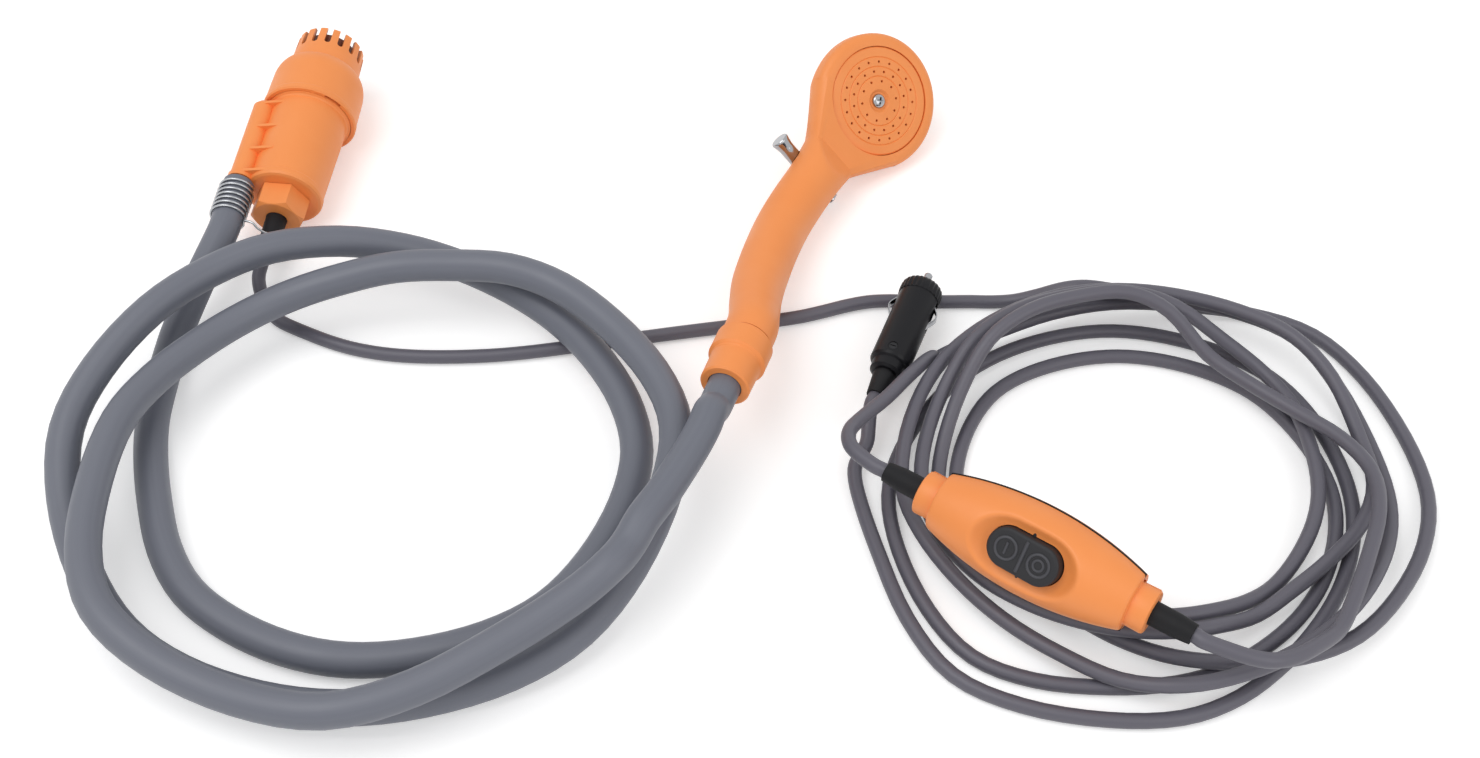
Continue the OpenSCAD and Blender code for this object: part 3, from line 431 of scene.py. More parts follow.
# %% Finishes of the solids
FINISH = {
    "shell_orange": orange_abs, "moulded_black": black_abs, "rubber_black": black_rubber,
    "hose_slate": hose_pvc, "cable_grey": cable_pvc, "bright_chrome": chrome,
    "plain_steel": bare_steel, "copper_alloy": copper, "magnet_grey": ferrite,
    "fuse_glass": fuse_ceramic,
}
OWN_FINISH = {"plug_screw": black_steel, "rocker_pin": black_steel, "strainer_cap": orange_abs_painted_shade}
for part in frame["record"]["subparts"]:
    solid = nodes[part["node"]]
    solid.data.materials.clear()
    solid.data.materials.append(OWN_FINISH.get(part["node"], FINISH[part["material_slot"]]))

# %% [markdown]
# ## Cords laid on the floor
# Hose and cables are fixed lengths of something bendy that lies under its own weight. A simulation
# could drop them, but then no loop would lie where it should. So their routes are points listed
# in plan, as reaches from a coil's centre at every eighth of a turn where they go round, and a
# smooth curve is drawn through them.

# %% Curves through points


def smooth_path(points, per):
    """Curve through points: on each span a cubic whose slope at a point is half its neighbours' step."""
    p = np.asarray(points, float)
    wide = np.vstack([2 * p[0] - p[1], p, 2 * p[-1] - p[-2]])
    a, b, c, d = wide[:-3], wide[1:-2], wide[2:-1], wide[3:]
    t = (np.arange(per) / per)[:, None, None]
    curve = 2 * b + (c - a) * t + (2 * a - 5 * b + 4 * c - d) * t**2 + (3 * b - a - 3 * c + d) * t**3
    return np.vstack([0.5 * curve.transpose(1, 0, 2).reshape(-1, p.shape[1]), p[-1:]])


def coil(centre, start, step, reach, height):
    """Stations of a loose coil: cosine and sine of each angle, times the reach there."""
    a = np.radians(start + step * np.arange(len(reach)))
    r = np.asarray(reach, float)
    return np.stack([centre[0] + r * np.cos(a), centre[1] + r * np.sin(a), np.full(len(r), height)], -1)


print("a bend through three points, two rings a span:", smooth_path([[0, 0], [1, 0], [1, 1]], 2).tolist())

# %% Stations of the three cords
HOSE_R, HOSE_BORE, CABLE_R = 8.0, 5.6, 3.5
EIGHTH = 45
CASE_HALF = 47.5
SLEEVE_TIP = CASE_HALF + 28
SWITCH_ENDS = [SLEEVE_TIP + 8, SLEEVE_TIP + 0.5, SLEEVE_TIP - 8.3]
OUTLET_X, OUTLET_LIFT = BODY_R + 3.2, 28
COIL_C, HOSE_C = (190, -75), (-172, -55)
PLUG_REACH = [134, 137, 118, 98.5, 98, 104, 104, 108, 120, 124, 101, 90, 89.5, 89, 87, 90,
              87.5, 76.5, 92.5, 115.5, 134, 143, 117, 120]
PUMP_REACH = [124, 115, 107, 109.5, 103, 114, 115.5, 111.5, 114.5, 106.5, 81.5, 84, 93.5, 104.5, 107,
              103.5, 97.5, 81, 73, 75.5, 85, 96, 98.5, 95.5, 80.5, 103]
HOSE_REACH = [109, 108, 112, 121, 123, 114, 119, 129, 143, 141, 136, 144, 142, 118, 95, 101, 117, 146,
              150, 142]
LEAD_FREE = [[-245, 47.5, 7.5], [-238.5, 38.5, 4.5], [-228, 31.5, 3.5], [-198, 18, 3.5], [-165, 12, 3.5],
             [-120, 13, 3.5], [-70, 21, 3.5], [-30, 28, 3.5], [0, 33, 3.5], [32, 39, 3.5], [66, 49, 3.5],
             [98, 49, 3.5], [130, 49, 3.5], [163, 46, 3.5], [195, 42, 3.5]]
PLUG_RISE = [[95.5, 3.5, 13], [83.5, -14.5, 22], [70, -34, 27], [57.5, -50.5, 32.5], [50.5, -63, 37.5],
             [51, -75, 41]]
PUMP_RISE = [[267, -149, 22], [244, -175, 32], [221, -186, 39]]
HOSE_DROP = [[-276, 42, 20], [-284, 5, 10.5]]
from_plug = place("plug", [[0, 0, -7.2], [0, 0, -14.2], [0, 0, -21]])
from_gland = place("pump", [[0, 0, -28.2], [0, 0, -36.5], [0, 0, -43], [1, -4, -51]])
from_outlet = place("pump", [turn("z", OUTLET_LIFT) @ (OUTLET_X, 0, z) for z in (-1.2, -12, -23, -35)])
into_handle = place("head", [[0, 0, z] for z in (-40, -14, 10, 41.4)])
plug_points = np.vstack([
    from_plug, SHIFT + [61, -46, 8], SHIFT + coil(COIL_C, 180, EIGHTH, PLUG_REACH, CABLE_R),
    SHIFT + np.array(PLUG_RISE, float), place("switch", [[-x, 0, 0] for x in SWITCH_ENDS])])
pump_points = np.vstack([
    from_gland, SHIFT + np.array(LEAD_FREE, float),
    SHIFT + coil(COIL_C, 45, -EIGHTH, PUMP_REACH, CABLE_R), SHIFT + np.array(PUMP_RISE, float),
    place("switch", [[x, 0, 0] for x in SWITCH_ENDS])])
hose_points = np.vstack([
    from_outlet, SHIFT + np.array(HOSE_DROP, float),
    SHIFT + coil(HOSE_C, 180, EIGHTH, HOSE_REACH, HOSE_R), SHIFT + [-42, -120, 45], into_handle])
print("stations", len(plug_points), len(pump_points), len(hose_points))

# %% [markdown]
# ### Strands that climb over each other
# A cord that crosses another lies on top of it, in a long low hump. Each ring of a path is looked at
# in turn. Where the stretch on either side of it comes too close in plan to a strand that is already
# there, its own earlier turns included, the ring needs the height of that strand's top, and its
# neighbours rise by a falling share of that.

# %% Distances in plan


def point_gap(p, a, b):
    """Distance in plan of points from straight stretches: the foot of each is held between the ends."""
    d = b - a
    t = np.clip(((p - a) * d).sum(-1) / np.maximum((d * d).sum(-1), 1e-6), 0, 1)
    return np.linalg.norm(p - a - t[..., None] * d, axis=-1)


def side(o, p, q):
    """Which side of the line o-p the point q lies on, as a signed area."""
    u, v = p - o, q - o
    return u[..., 0] * v[..., 1] - u[..., 1] * v[..., 0]


def plan_gap(a, b, c, d):
    """Distance in plan of the stretch a-b from many stretches c-d, nought where they cross."""
    a, b = np.broadcast_to(a, c.shape), np.broadcast_to(b, c.shape)
    cross = (side(a, b, c) * side(a, b, d) < 0) & (side(c, d, a) * side(c, d, b) < 0)
    ends = [point_gap(a, c, d), point_gap(b, c, d), point_gap(c, a, b), point_gap(d, a, b)]
    return np.where(cross, 0, np.min(ends, 0))


strand_from, strand_to = np.array([[0, 1], [3, 0]]), np.array([[1, 0], [3, 1]])
print("gaps to a crossing strand and a far one", plan_gap(np.zeros(2), np.ones(2), strand_from, strand_to))

# %% Laying a path over others
OWN_RINGS, LIFT_GAP = 9, 0.6
# share of a ring's lift that it, its next, second and third neighbours take
FALL = (1.0, 0.85, 0.45, 0.12)
SPREAD = len(FALL) - 1


def heights(path, radius, need):
    """Ring heights: what a ring needs, and a falling share of what the rings either way need."""
    z = np.maximum(path[:, 2], radius)
    lift = np.pad(np.where(need > 0, need - radius, 0), SPREAD)
    for k in range(-SPREAD, SPREAD + 1):
        z = np.maximum(z, radius + FALL[abs(k)] * lift[SPREAD + k : len(z) + SPREAD + k])
    return z


def lay_down(path, radius, beds):
    """The path with each ring lifted over the stretches in beds (starts, ends, tops, radii) and over
    its own earlier stretches."""
    flat, count = path[:, :2], len(path)
    need = np.zeros(count)
    for i in range(count):
        z = heights(path, radius, need)
        own = max(i - OWN_RINGS + 1, 0)
        tops = np.maximum(z[:own], z[1 : own + 1]) + radius
        earlier = (flat[:own], flat[1 : own + 1], tops, np.full(own, radius))
        for c, d, top, r in [*beds, earlier]:
            for k in (i - 1, i):
                if 0 <= k < count - 1 and len(c):
                    hit = plan_gap(flat[k], flat[k + 1], c, d) < radius + r + LIFT_GAP
                    need[i] = max(need[i], np.max(top[hit] + radius + LIFT_GAP, initial=0))
    return np.column_stack([flat, heights(path, radius, need)])


def bed(path, radius, count):
    """What the first rings of a laid cord offer the next: starts, ends, tops and radii of stretches."""
    p = path[:count]
    tops = np.maximum(p[:-1, 2], p[1:, 2]) + radius
    return p[:-1, :2], p[1:, :2], tops, np.full(count - 1, radius)


# %% The plug's cable, the pump's cable and the hose, in the order they lie
SPAN_RINGS = 3
plug_path = lay_down(smooth_path(plug_points, SPAN_RINGS), CABLE_R, [])
rise_rings = SPAN_RINGS * (len(PLUG_RISE) + len(SWITCH_ENDS) - 1)
plug_bed = bed(plug_path, CABLE_R, len(plug_path) - rise_rings)
pump_path = lay_down(smooth_path(pump_points, SPAN_RINGS), CABLE_R, [plug_bed])
lead_rings = SPAN_RINGS * (len(from_gland) + len(LEAD_FREE) - 1) + 1
lead_bed = bed(pump_path, CABLE_R, lead_rings)
hose_laid = lay_down(smooth_path(hose_points, SPAN_RINGS), HOSE_R, [lead_bed])
print("highest strands", *(round(path[:, 2].max(), 1) for path in (plug_path, pump_path, hose_laid)), "mm")

# %% [markdown]
# ### A stiffer hose
# The hose is too stiff for humps as short as the cable's. More neighbours could take a share of each
# lift, but then the whole hose would float. Here only its steep places are filled in, between the drop
# from the pump and the climb to the handle.

# %% Eased humps


def ease(path, first, last, rounds):
    """Longer humps for a stiff cord: from one ring to another each height goes to the mean of itself
    and its neighbours, round after round, but never below where it was laid."""
    laid, z = path[:, 2], path[:, 2].copy()
    for _ in range(rounds):
        mean = (z[:-2] + 2 * z[1:-1] + z[2:]) / 4
        z[first:last] = np.maximum(laid[1:-1], mean)[first - 1 : last - 1]
    return np.column_stack([path[:, :2], z])


EASE_FROM, EASE_TO, EASE_ROUNDS = 18, len(hose_laid) - 14, 6
hose_path = ease(hose_laid, EASE_FROM, EASE_TO, EASE_ROUNDS)
print("hose eased by", round((hose_path - hose_laid)[:, 2].max(), 1), "mm at most")

# %% [markdown]
# ### The cords' skins
# A circle carried along the laid path is the cord. A bevelled curve would do that too, but it gives no
# UV map in metres. The hose is a pipe, so at each end its circle turns in over the lip and runs back
# down the bore a little way.

# %% Tubes along a path
LIP, BORE_SHOWN = 0.5, 9.0


def circles(at, way, radii, sides, up=(0, 0, 1)):
    """A circle of each radius about each point, square to the way: the cosine across, the sine up."""
    across = unit(np.cross(up, way))
    rise = np.cross(way, across)
    a = around(sides)[:, None]
    ring = np.cos(a) * across[..., None, :] + np.sin(a) * rise[..., None, :]
    return at[:, None] + radii[:, None, None] * ring


def carry_circle(path, radius, sides, up=(0, 0, 1)):
    """One circle at each path point, square to the path."""
    return circles(path, unit(np.gradient(path, axis=0)), np.full(len(path), radius), sides, up)


def pipe_grid(path, radius, bore, sides):
    """Skin of a pipe: its cut ends start down the bore and come out over the rounded lip."""
    inset, reach = np.array([(BORE_SHOWN, bore), (LIP, bore), (0, bore + LIP), (0, radius - LIP),
                             (LIP, radius)]).T
    first, last = unit(path[1] - path[0]), unit(path[-1] - path[-2])
    head = circles(path[0] + inset[:, None] * first, first, reach, sides)
    tail = circles(path[-1] - inset[:, None] * last, last, reach, sides)
    return np.concatenate([head, carry_circle(path, radius, sides)[1:-1], tail[::-1]])


def length_of(path):
    """Length along a path."""
    return np.linalg.norm(np.diff(path, axis=0), axis=1).sum()


# %% Hose and cables
FINER, HOSE_SIDES, CABLE_SIDES = 4, 32, 20
hose_line, pump_line, plug_line = (smooth_path(path, FINER) for path in (hose_path, pump_path, plug_path))
hose_grid = pipe_grid(hose_line, HOSE_R, HOSE_BORE, HOSE_SIDES)
hose = settle(grid_object("water_hose", [hose_grid], hose_pvc), "set", "hose_slate", "hose")
pump_flex = grid_object("pump_flex", [carry_circle(pump_line, CABLE_R, CABLE_SIDES)], cable_pvc)
settle(pump_flex, "set", "cable_grey", "pump_lead", "cable_coil")
plug_flex = grid_object("plug_flex", [carry_circle(plug_line, CABLE_R, CABLE_SIDES)], cable_pvc)
settle(plug_flex, "set", "cable_grey", "plug_cable")
print("lengths", *(round(length_of(line)) for line in (hose_line, pump_line, plug_line)), "mm")

# %% [markdown]
# ## The hand shower's shell
# Head, neck and handle are one moulding and run into each other without an edge. Sections carried
# along the handle would crease where they meet the disc, so the shell is drawn as a field that is
# negative inside and nought on the skin. The handle's field comes from ellipses along a bowed line, the
# head's from a rounded disc with a domed back, and a smooth minimum runs the two together. Rays square
# to a line through the middle then find the skin.

# %% The field
HEAD_R, FACE_TILT = 37.0, np.radians(30)
FACE_AT = np.array([0, 17.5, 223.0])
FACE_OUT = np.array([0, np.cos(FACE_TILT), -np.sin(FACE_TILT)])
FACE_UP = np.array([0, np.sin(FACE_TILT), np.cos(FACE_TILT)])
RIM_ROUND, DOME_FROM, DOME_DEEP = 4.6, 8.5, 18.5
NECK_BLEND, BEVEL_SLOPE, BEVEL_GAP = 10.0, 0.93, 0.5
# height, offset to the front, half width, half depth
HANDLE = [[31.3, 0, 12.7, 12.7], [45, -1, 12.9, 12.9], [60, -6.6, 13.3, 13.1], [78, -12.6, 13.8, 13.4],
          [97, -16, 14, 13.6], [116, -17.9, 14.1, 13.7], [135, -17.8, 14.2, 13.9], [153, -14.8, 14.3, 14],
          [170, -9.8, 14.5, 13.9], [186, -5.4, 16.2, 13.4], [200, -2.4, 18.8, 12.4],
          [212, -0.4, 20.5, 11.5]]
SECTION_STEPS = 8
sections = smooth_path(HANDLE, SECTION_STEPS)


def smooth_min(a, b, k):
    """The smaller of two fields, rounded over where they are closer than k."""
    near = np.maximum(k - np.abs(a - b), 0) / k
    return np.minimum(a, b) - near**2 * k / 4


def handle_field(p):
    """Distance from the handle's skin, roughly, by its ellipse at that height."""
    x, y, z = p[..., 0], p[..., 1], p[..., 2]
    offset, wide, deep = (np.interp(z, sections[:, 0], sections[:, k]) for k in (1, 2, 3))
    ellipse = (np.hypot(x / wide, (y - offset) / deep) - 1) * np.minimum(wide, deep)
    return np.maximum(ellipse, z - sections[-1, 0])


def head_field(p):
    """Distance from the head's skin: a disc with a round rim in front, half an ellipsoid behind."""
    out, up = (p - FACE_AT) @ FACE_OUT, (p - FACE_AT) @ FACE_UP
    reach = np.hypot(p[..., 0], up)
    rim = np.hypot(np.maximum(reach - HEAD_R + RIM_ROUND, 0), np.maximum(out + RIM_ROUND, 0)) - RIM_ROUND
    dome = (np.hypot(reach / HEAD_R, (out + DOME_FROM) / DOME_DEEP) - 1) * HEAD_R
    return np.where(out > -DOME_FROM, rim, dome)


def shell_field(p):
    """Handle and head run together, then cut by the face and by a bevel that leads up to the handle."""
    out, up = (p - FACE_AT) @ FACE_OUT, (p - FACE_AT) @ FACE_UP
    bevel = out - BEVEL_SLOPE * np.maximum(-up - HEAD_R - BEVEL_GAP, 0)
    return np.maximum(smooth_min(handle_field(p), head_field(p), NECK_BLEND), bevel)


print("field in the middle of the head", round(float(shell_field(FACE_AT - DOME_FROM * FACE_OUT)), 1))

# %% Rays to the skin
MARCH_STEPS, HALVINGS = 60, 14


def skin_by_rays(field, line, sides, reach):
    """Where rays square to a line in the YZ plane leave the field: march out, then halve the step."""
    way = unit(np.gradient(line, axis=0))
    front = np.cross(way, (1, 0, 0))
    a = around(sides)[:, None]
    rays = np.cos(a) * np.array([1, 0, 0]) + np.sin(a) * front[:, None]
    steps = np.linspace(0, reach, MARCH_STEPS)
    inside = np.stack([field(line[:, None] + s * rays) < 0 for s in steps])
    low = steps[np.maximum(np.argmin(inside, axis=0) - 1, 0)]
    high = low + steps[1]
    for _ in range(HALVINGS):
        mid = (low + high) / 2
        within = field(line[:, None] + mid[..., None] * rays) < 0
        low, high = np.where(within, mid, low), np.where(within, high, mid)
    return line[:, None] + low[..., None] * rays


# %% The shell
NECK_TOP, CORE_DEEP, CORE_UP = 187, 11, (-18, -6, 6, 16)
TIP_FROM, SHELL_SIDES, SHELL_REACH = 18, 160, 60.0
SHELL_ANGLE = 35.0
lower = sections[sections[:, 0] < NECK_TOP]
bowed = np.column_stack([np.zeros(len(lower)), lower[:, 1], lower[:, 0]])
core = FACE_AT - CORE_DEEP * FACE_OUT
middle = smooth_path([core + u * FACE_UP for u in CORE_UP], SECTION_STEPS)
# the last rings crowd together by a sine, because the skin closes steeply there
CREST_FROM, CREST_TO, CREST_RINGS = 0.5, np.pi / 2 - 0.02, 40
crest = np.sin(np.linspace(CREST_FROM, CREST_TO, CREST_RINGS)) * HEAD_R
guide = np.vstack([bowed, middle, core + crest[crest > TIP_FROM, None] * FACE_UP])
shell_grid = place("head", skin_by_rays(shell_field, guide, SHELL_SIDES, SHELL_REACH))
shell = grid_object("handset_shell", [shell_grid], orange_abs, smooth_angle=SHELL_ANGLE)
print("shell rings", len(guide))

# %% [markdown]
# ### Bores in the shell
# The push valve goes right through the neck, and the spray plate sits in a shallow recess. Dark rings
# in the finish would do from afar, but a real hole has an edge and depth. So both are cut out of the
# shell as turned shapes, each given by its radius at points along its axis.

# %% Cutting


def turned(profile, sides=64):
    """Grid of a shape turned about Z, from pairs of radius and height."""
    r, z = np.array(profile, float).T
    a = around(sides)
    return np.stack([r[:, None] * np.cos(a), r[:, None] * np.sin(a), np.repeat(z[:, None], sides, 1)], -1)


def carve(piece, tool):
    """Cuts a tool's shape out of a piece for good, and drops the tool."""
    cut = piece.modifiers.new("cut", "BOOLEAN")
    cut.operation, cut.solver, cut.object = "DIFFERENCE", "EXACT", tool
    whole = piece.evaluated_get(bpy.context.evaluated_depsgraph_get())
    mesh = bpy.data.meshes.new_from_object(whole)
    mesh.set_sharp_from_angle(angle=np.radians(SHELL_ANGLE))
    piece.modifiers.clear()
    piece.data = mesh
    bpy.data.objects.remove(tool)


VALVE, ACROSS = np.array([0, -15, 175.5]), turn("y", 90)
STEM_BORE, SEAL_BORE, BUTTON_BORE, BORE_PAST = 2.8, 3.6, 4.45, 40
valve_bore = turned([(STEM_BORE, -BORE_PAST), (STEM_BORE, -12.8), (SEAL_BORE, -12.8), (SEAL_BORE, 2.5),
                     (BUTTON_BORE, 2.5), (BUTTON_BORE, BORE_PAST)])
valve_grid = place("head", valve_bore @ ACROSS.T + VALVE)
carve(shell, grid_object("valve_bore", [valve_grid], orange_abs))
TO_FACE = np.stack([np.array([1, 0, 0]), -FACE_UP, FACE_OUT], -1)
RECESS_R, RECESS_DEEP, RECESS_PAST, RECESS_SIDES = 29.4 + 0.3, 4.2, 8, 128
recess_line = [(RECESS_R, -RECESS_DEEP), (RECESS_R, RECESS_PAST)]
recess = turned(recess_line, RECESS_SIDES) @ TO_FACE.T + FACE_AT
carve(shell, grid_object("plate_recess", [place("head", recess)], orange_abs))
settle(shell, "set", "shell_orange", "head_shell")

# %% [markdown]
# ### Push button
# The button is turned from brass and plated, so it is a turned shape here too. It is nearly a plain
# pin that slides in the handle, and only its outer end swells a little to a broad flat top for the
# thumb.

# %% Button
button_line = [(3.8, 9), (4.1, 9.4), (4.1, 20.8), (4.25, 22), (4.55, 23.6), (4.9, 25.2), (5.05, 25.9),
               (4.95, 26.5), (4.5, 26.9)]
button_grid = place("head", turned(button_line) @ ACROSS.T + VALVE)
button = grid_object("thumb_button", [button_grid], chrome)
settle(button, "valve", "bright_chrome", "push_button")

# %% [markdown]
# ### Face screw
# One plated screw with a low round head holds the spray plate. The head is a turned shape. Its cross
# recess could be a dark mark, but the light catches its walls, so it is two tapered slots cut out of
# the head, deepest in the middle.

# %% Screw
SCREW_R = 3.9
head_line = [(SCREW_R - 0.3, -0.95), (SCREW_R, -0.6), (SCREW_R - 0.1, -0.1), (SCREW_R - 0.6, 0.5),
             (SCREW_R - 1.5, 0.95), (SCREW_R - 2.6, 1.2), (0.4, 1.3)]
screw_grid = place("head", turned(head_line) @ TO_FACE.T + FACE_AT)
screw = grid_object("face_screw", [screw_grid], chrome)
floor_half, mouth_half = np.array([0.9, 0.35]), np.array([2.5, 0.55])
FLUTE_FLOOR, FLUTE_MOUTH, FLUTE_WAYS = -0.5, 1.6, (35, 125)
corner = np.array([[1, 1], [-1, 1], [-1, -1], [1, -1]])
flute = np.array([np.column_stack([corner * half, np.full(4, z)]) for half, z in
                  ((floor_half, FLUTE_FLOOR), (mouth_half, FLUTE_MOUTH))])
for angle in FLUTE_WAYS:
    slot = flute @ turn("z", angle).T @ TO_FACE.T + FACE_AT
    carve(screw, grid_object("cross_flute", [place("head", slot)], chrome))
settle(screw, "set", "bright_chrome", "plate_screw")

# %% [markdown]
# ## The switch's cover
# The cover is half a spindle with a short spout at each end. It could be a turned shape cut in half,
# but its skin also dips into a soft oval dish round the rocker, and a grid takes both at once. Its rows
# are stations along X, and its columns run round a half circle and back along the flat joint.

# %% Stations and radii
CASE_W, END_R, SPOUT_R, END_GAP = 21.0, 13.4, 10.4, 1.1
# a circle this large bows from the end radius to the full width and back
bow = (CASE_HALF**2 + (CASE_W - END_R) ** 2) / (2 * (CASE_W - END_R))
along = np.linspace(-CASE_HALF + END_GAP, CASE_HALF - END_GAP, 121)
girth = np.sqrt(bow**2 - along**2) - bow + CASE_W
end_x = CASE_HALF + np.array([-0.6, -0.2, 0, 0, 0.3, 7.8, 8.6, 9])
shoulder = END_R + np.array([0.1, -0.35, -1.1])
spout = SPOUT_R + np.array([0.3, -0.1, 0, -0.3, -1])
end_r = np.concatenate([shoulder, spout])
station = np.concatenate([-end_x[::-1], along, end_x])
radius = np.concatenate([end_r[::-1], girth, end_r])
print("cover stations", len(station), "bow radius", round(bow, 1), "mm")

# %% Cover
JOINT_Z, ARC_SIDES, BACK_SIDES = 0.6, 97, 24
PAD_X, PAD_R = 8.0, 9.2
DISH_Z, DISH_RISE, DISH_WIDE, DISH_BLEND, DISH_ABOVE = 13.2, 7, 8.5, 2.5, 9
lift = np.arcsin(JOINT_Z / radius)[:, None]
sweep = lift + (np.pi - 2 * lift) * np.linspace(0, 1, ARC_SIDES)
arc_y, arc_z = radius[:, None] * np.cos(sweep), radius[:, None] * np.sin(sweep)
back = np.linspace(-1, 1, BACK_SIDES + 2)[1:-1]
cover_y = np.hstack([arc_y, back * arc_y[:, :1]])
cover_z = np.hstack([arc_z, np.full((len(station), len(back)), JOINT_Z)])
from_pad = np.hypot(np.maximum(np.abs(station)[:, None] - PAD_X, 0), cover_y)
dish = DISH_Z + DISH_RISE * (np.maximum(from_pad - PAD_R, 0) / DISH_WIDE) ** 2
cover_z = np.where(cover_z > DISH_ABOVE, smooth_min(cover_z, dish, DISH_BLEND), cover_z)
cover_x = np.repeat(station[:, None], cover_y.shape[1], 1)
cover_grid = place("switch", np.stack([cover_x, cover_y, cover_z], -1))
cover = grid_object("switch_cover", [cover_grid], orange_abs, smooth_angle=SHELL_ANGLE)


def stadium(radius, height, sides=96):
    """Outline of a slot: a circle whose two halves are moved apart to the pad's two centres."""
    a = around(sides)
    x = radius * np.cos(a) + PAD_X * np.sign(np.cos(a + 1e-6))
    return np.stack([x, radius * np.sin(a), np.full(sides, height)], -1)


PAD_GAP, WELL_Z = 0.45, (1, 30)
well = np.array([stadium(PAD_R + PAD_GAP, z) for z in WELL_Z])
carve(cover, grid_object("rocker_well", [place("switch", well)], orange_abs))
settle(cover, "set", "shell_orange", "switch_top")

# %% [markdown]
# ### Rocker
# The pad is a stack of slots, drawn in as the top is reached. Raised on it stand a rib across the
# middle, a ring with a bar for on and a double ring for off. They could be bump in the finish, but
# they stand high enough to be seen from the side, so they are small skins of their own. It is all
# drawn level and then tipped back about the pin, as the rocker rests.

# %% Pad and marks
PIVOT_Z, ROCKER_REST = 12.0, -4.0
# how far each slot is drawn in, and its height
steps = [(0, 8.5), (0, 16.5), (0.12, 17.1), (0.45, 17.6), (1.0, 17.9), (1.8, 18), (4, 17.8),
         (6.5, 17.7), (9, 17.65)]
pad = np.array([stadium(PAD_R - inset, z) for inset, z in steps])


def hoop(radius, thick, centre, height):
    """A raised ring: a small circle carried round a large one."""
    a = np.linspace(0, 2 * np.pi, 49)[:, None]
    b = around(10)
    r = radius + thick * np.cos(b)
    return np.stack([centre + r * np.cos(a), r * np.sin(a), height + thick * np.sin(b) + 0 * a], -1)


def bar(length, thick, centre, height):
    """A raised straight rib across the pad: a circle carried along Y, half as thick at its two ends."""
    y = np.array([-1, -0.97, 0.97, 1])[:, None] * length / 2
    grow = np.array([0.5, 1, 1, 0.5])[:, None] * thick
    b = around(12)
    return np.stack([centre - grow * np.cos(b), y + 0 * b, height + grow * np.sin(b)], -1)


MARK_R, RING_Z, BAR_Z = 4.9, 17.65, 17.6
marks = [hoop(MARK_R, 0.7, -PAD_X, RING_Z), hoop(MARK_R, 0.7, PAD_X, RING_Z), hoop(2.4, 0.6, PAD_X, BAR_Z),
         bar(5.6, 0.65, -PAD_X, BAR_Z), bar(2 * PAD_R - 3.6, 0.9, 0, BAR_Z)]
tip_back, pivot = turn("y", ROCKER_REST), np.array([0, 0, PIVOT_Z])


def on_rocker(grid):
    """A grid of the level rocker, tipped back about its pin and placed."""
    return place("switch", (grid - pivot) @ tip_back.T + pivot)


PAD_ANGLE = 50.0
# the pad takes the black rubber with painted light on it
rocker = grid_object("rocker_pad", [on_rocker(pad)], pad_rubber_painted_light, smooth_angle=PAD_ANGLE)
settle(rocker, "rocker", "rubber_black", "rocker")
mark_grids = [on_rocker(grid) for grid in marks]
# the marks take the black rubber painted lighter, as painted highlight
mark_piece = grid_object("rocker_marks", mark_grids, marks_rubber_painted_highlight, smooth_angle=PAD_ANGLE)
settle(mark_piece, "rocker", "rubber_black")

# %% [markdown]
# ## Binding wire
# One tinned wire holds the hose on its barb: seven turns, a tail across, then two turns on the cable's
# sleeve. Rings would look the same from afar, but a real wire is one length. So it is a helix about the
# outlet, a smooth curve for the tail, and a second helix about the sleeve.

# %% Wire
WIRE_R, WIRE_SIDES, SLEEVE_R, TURN_RINGS, TAIL_RINGS = 0.65, 12, 5.5, 24, 8
WIRE_TURNS, WIRE_START, WIRE_GAP = 7, 150, 0.15
KNOT_TURNS, KNOT_START, KNOT_GAP, KNOT_RINGS = 2.1875, 55, 0.3, 54


def helix(radius, start, turns, count, low, high):
    """Points of a helix about Z: so many turns from a starting angle while the height goes evenly."""
    a = np.radians(start + 360 * np.linspace(0, turns, count))
    return np.stack([radius * np.cos(a), radius * np.sin(a), np.linspace(low, high, count)], -1)


wire_rings = TURN_RINGS * WIRE_TURNS + 1
wound = helix(HOSE_R + WIRE_R + WIRE_GAP, WIRE_START, -WIRE_TURNS, wire_rings, -5, -26)
wound += (OUTLET_X, 0, 0)
knot = helix(SLEEVE_R + WIRE_R + KNOT_GAP, KNOT_START, KNOT_TURNS, KNOT_RINGS, -29, -32)
tail = np.array([[OUTLET_X - 12.2, 6.9, -27.2], [8.2, 6, -28.6]])
tail_line = smooth_path(np.vstack([wound[-2:], tail, knot[:2]]), TAIL_RINGS)[TAIL_RINGS:-TAIL_RINGS]
wire_line = np.vstack([wound[:-2], tail_line, knot[2:]])
# the up direction leans a little, so that the wire never runs along it
wire_skin = carry_circle(wire_line, WIRE_R, WIRE_SIDES, up=(0.05, 0.02, 1))
wire_grid = place("pump", wire_skin @ turn("z", OUTLET_LIFT).T)
wire = grid_object("tie_wire", [wire_grid], tinned_wire)
settle(wire, "set", "plain_steel", "binding_wire")

# %% [markdown]
# ## The car plug's nose
# The front of the plug is a ribbed collar that is screwed off to change the fuse, and a slim plated pin
# stands out of it. The ribs are too coarse to leave to bump. So the collar is a turned shape whose
# radius waves round with the ribs, hollowed to fit over the body and the pin.

# %% Collar and pin
COLLAR_RIBS, RIB_RISE, RIB_ANGLE, COLLAR_SIDES, PIN_SIDES = 26, 0.24, 50.0, 208, 40
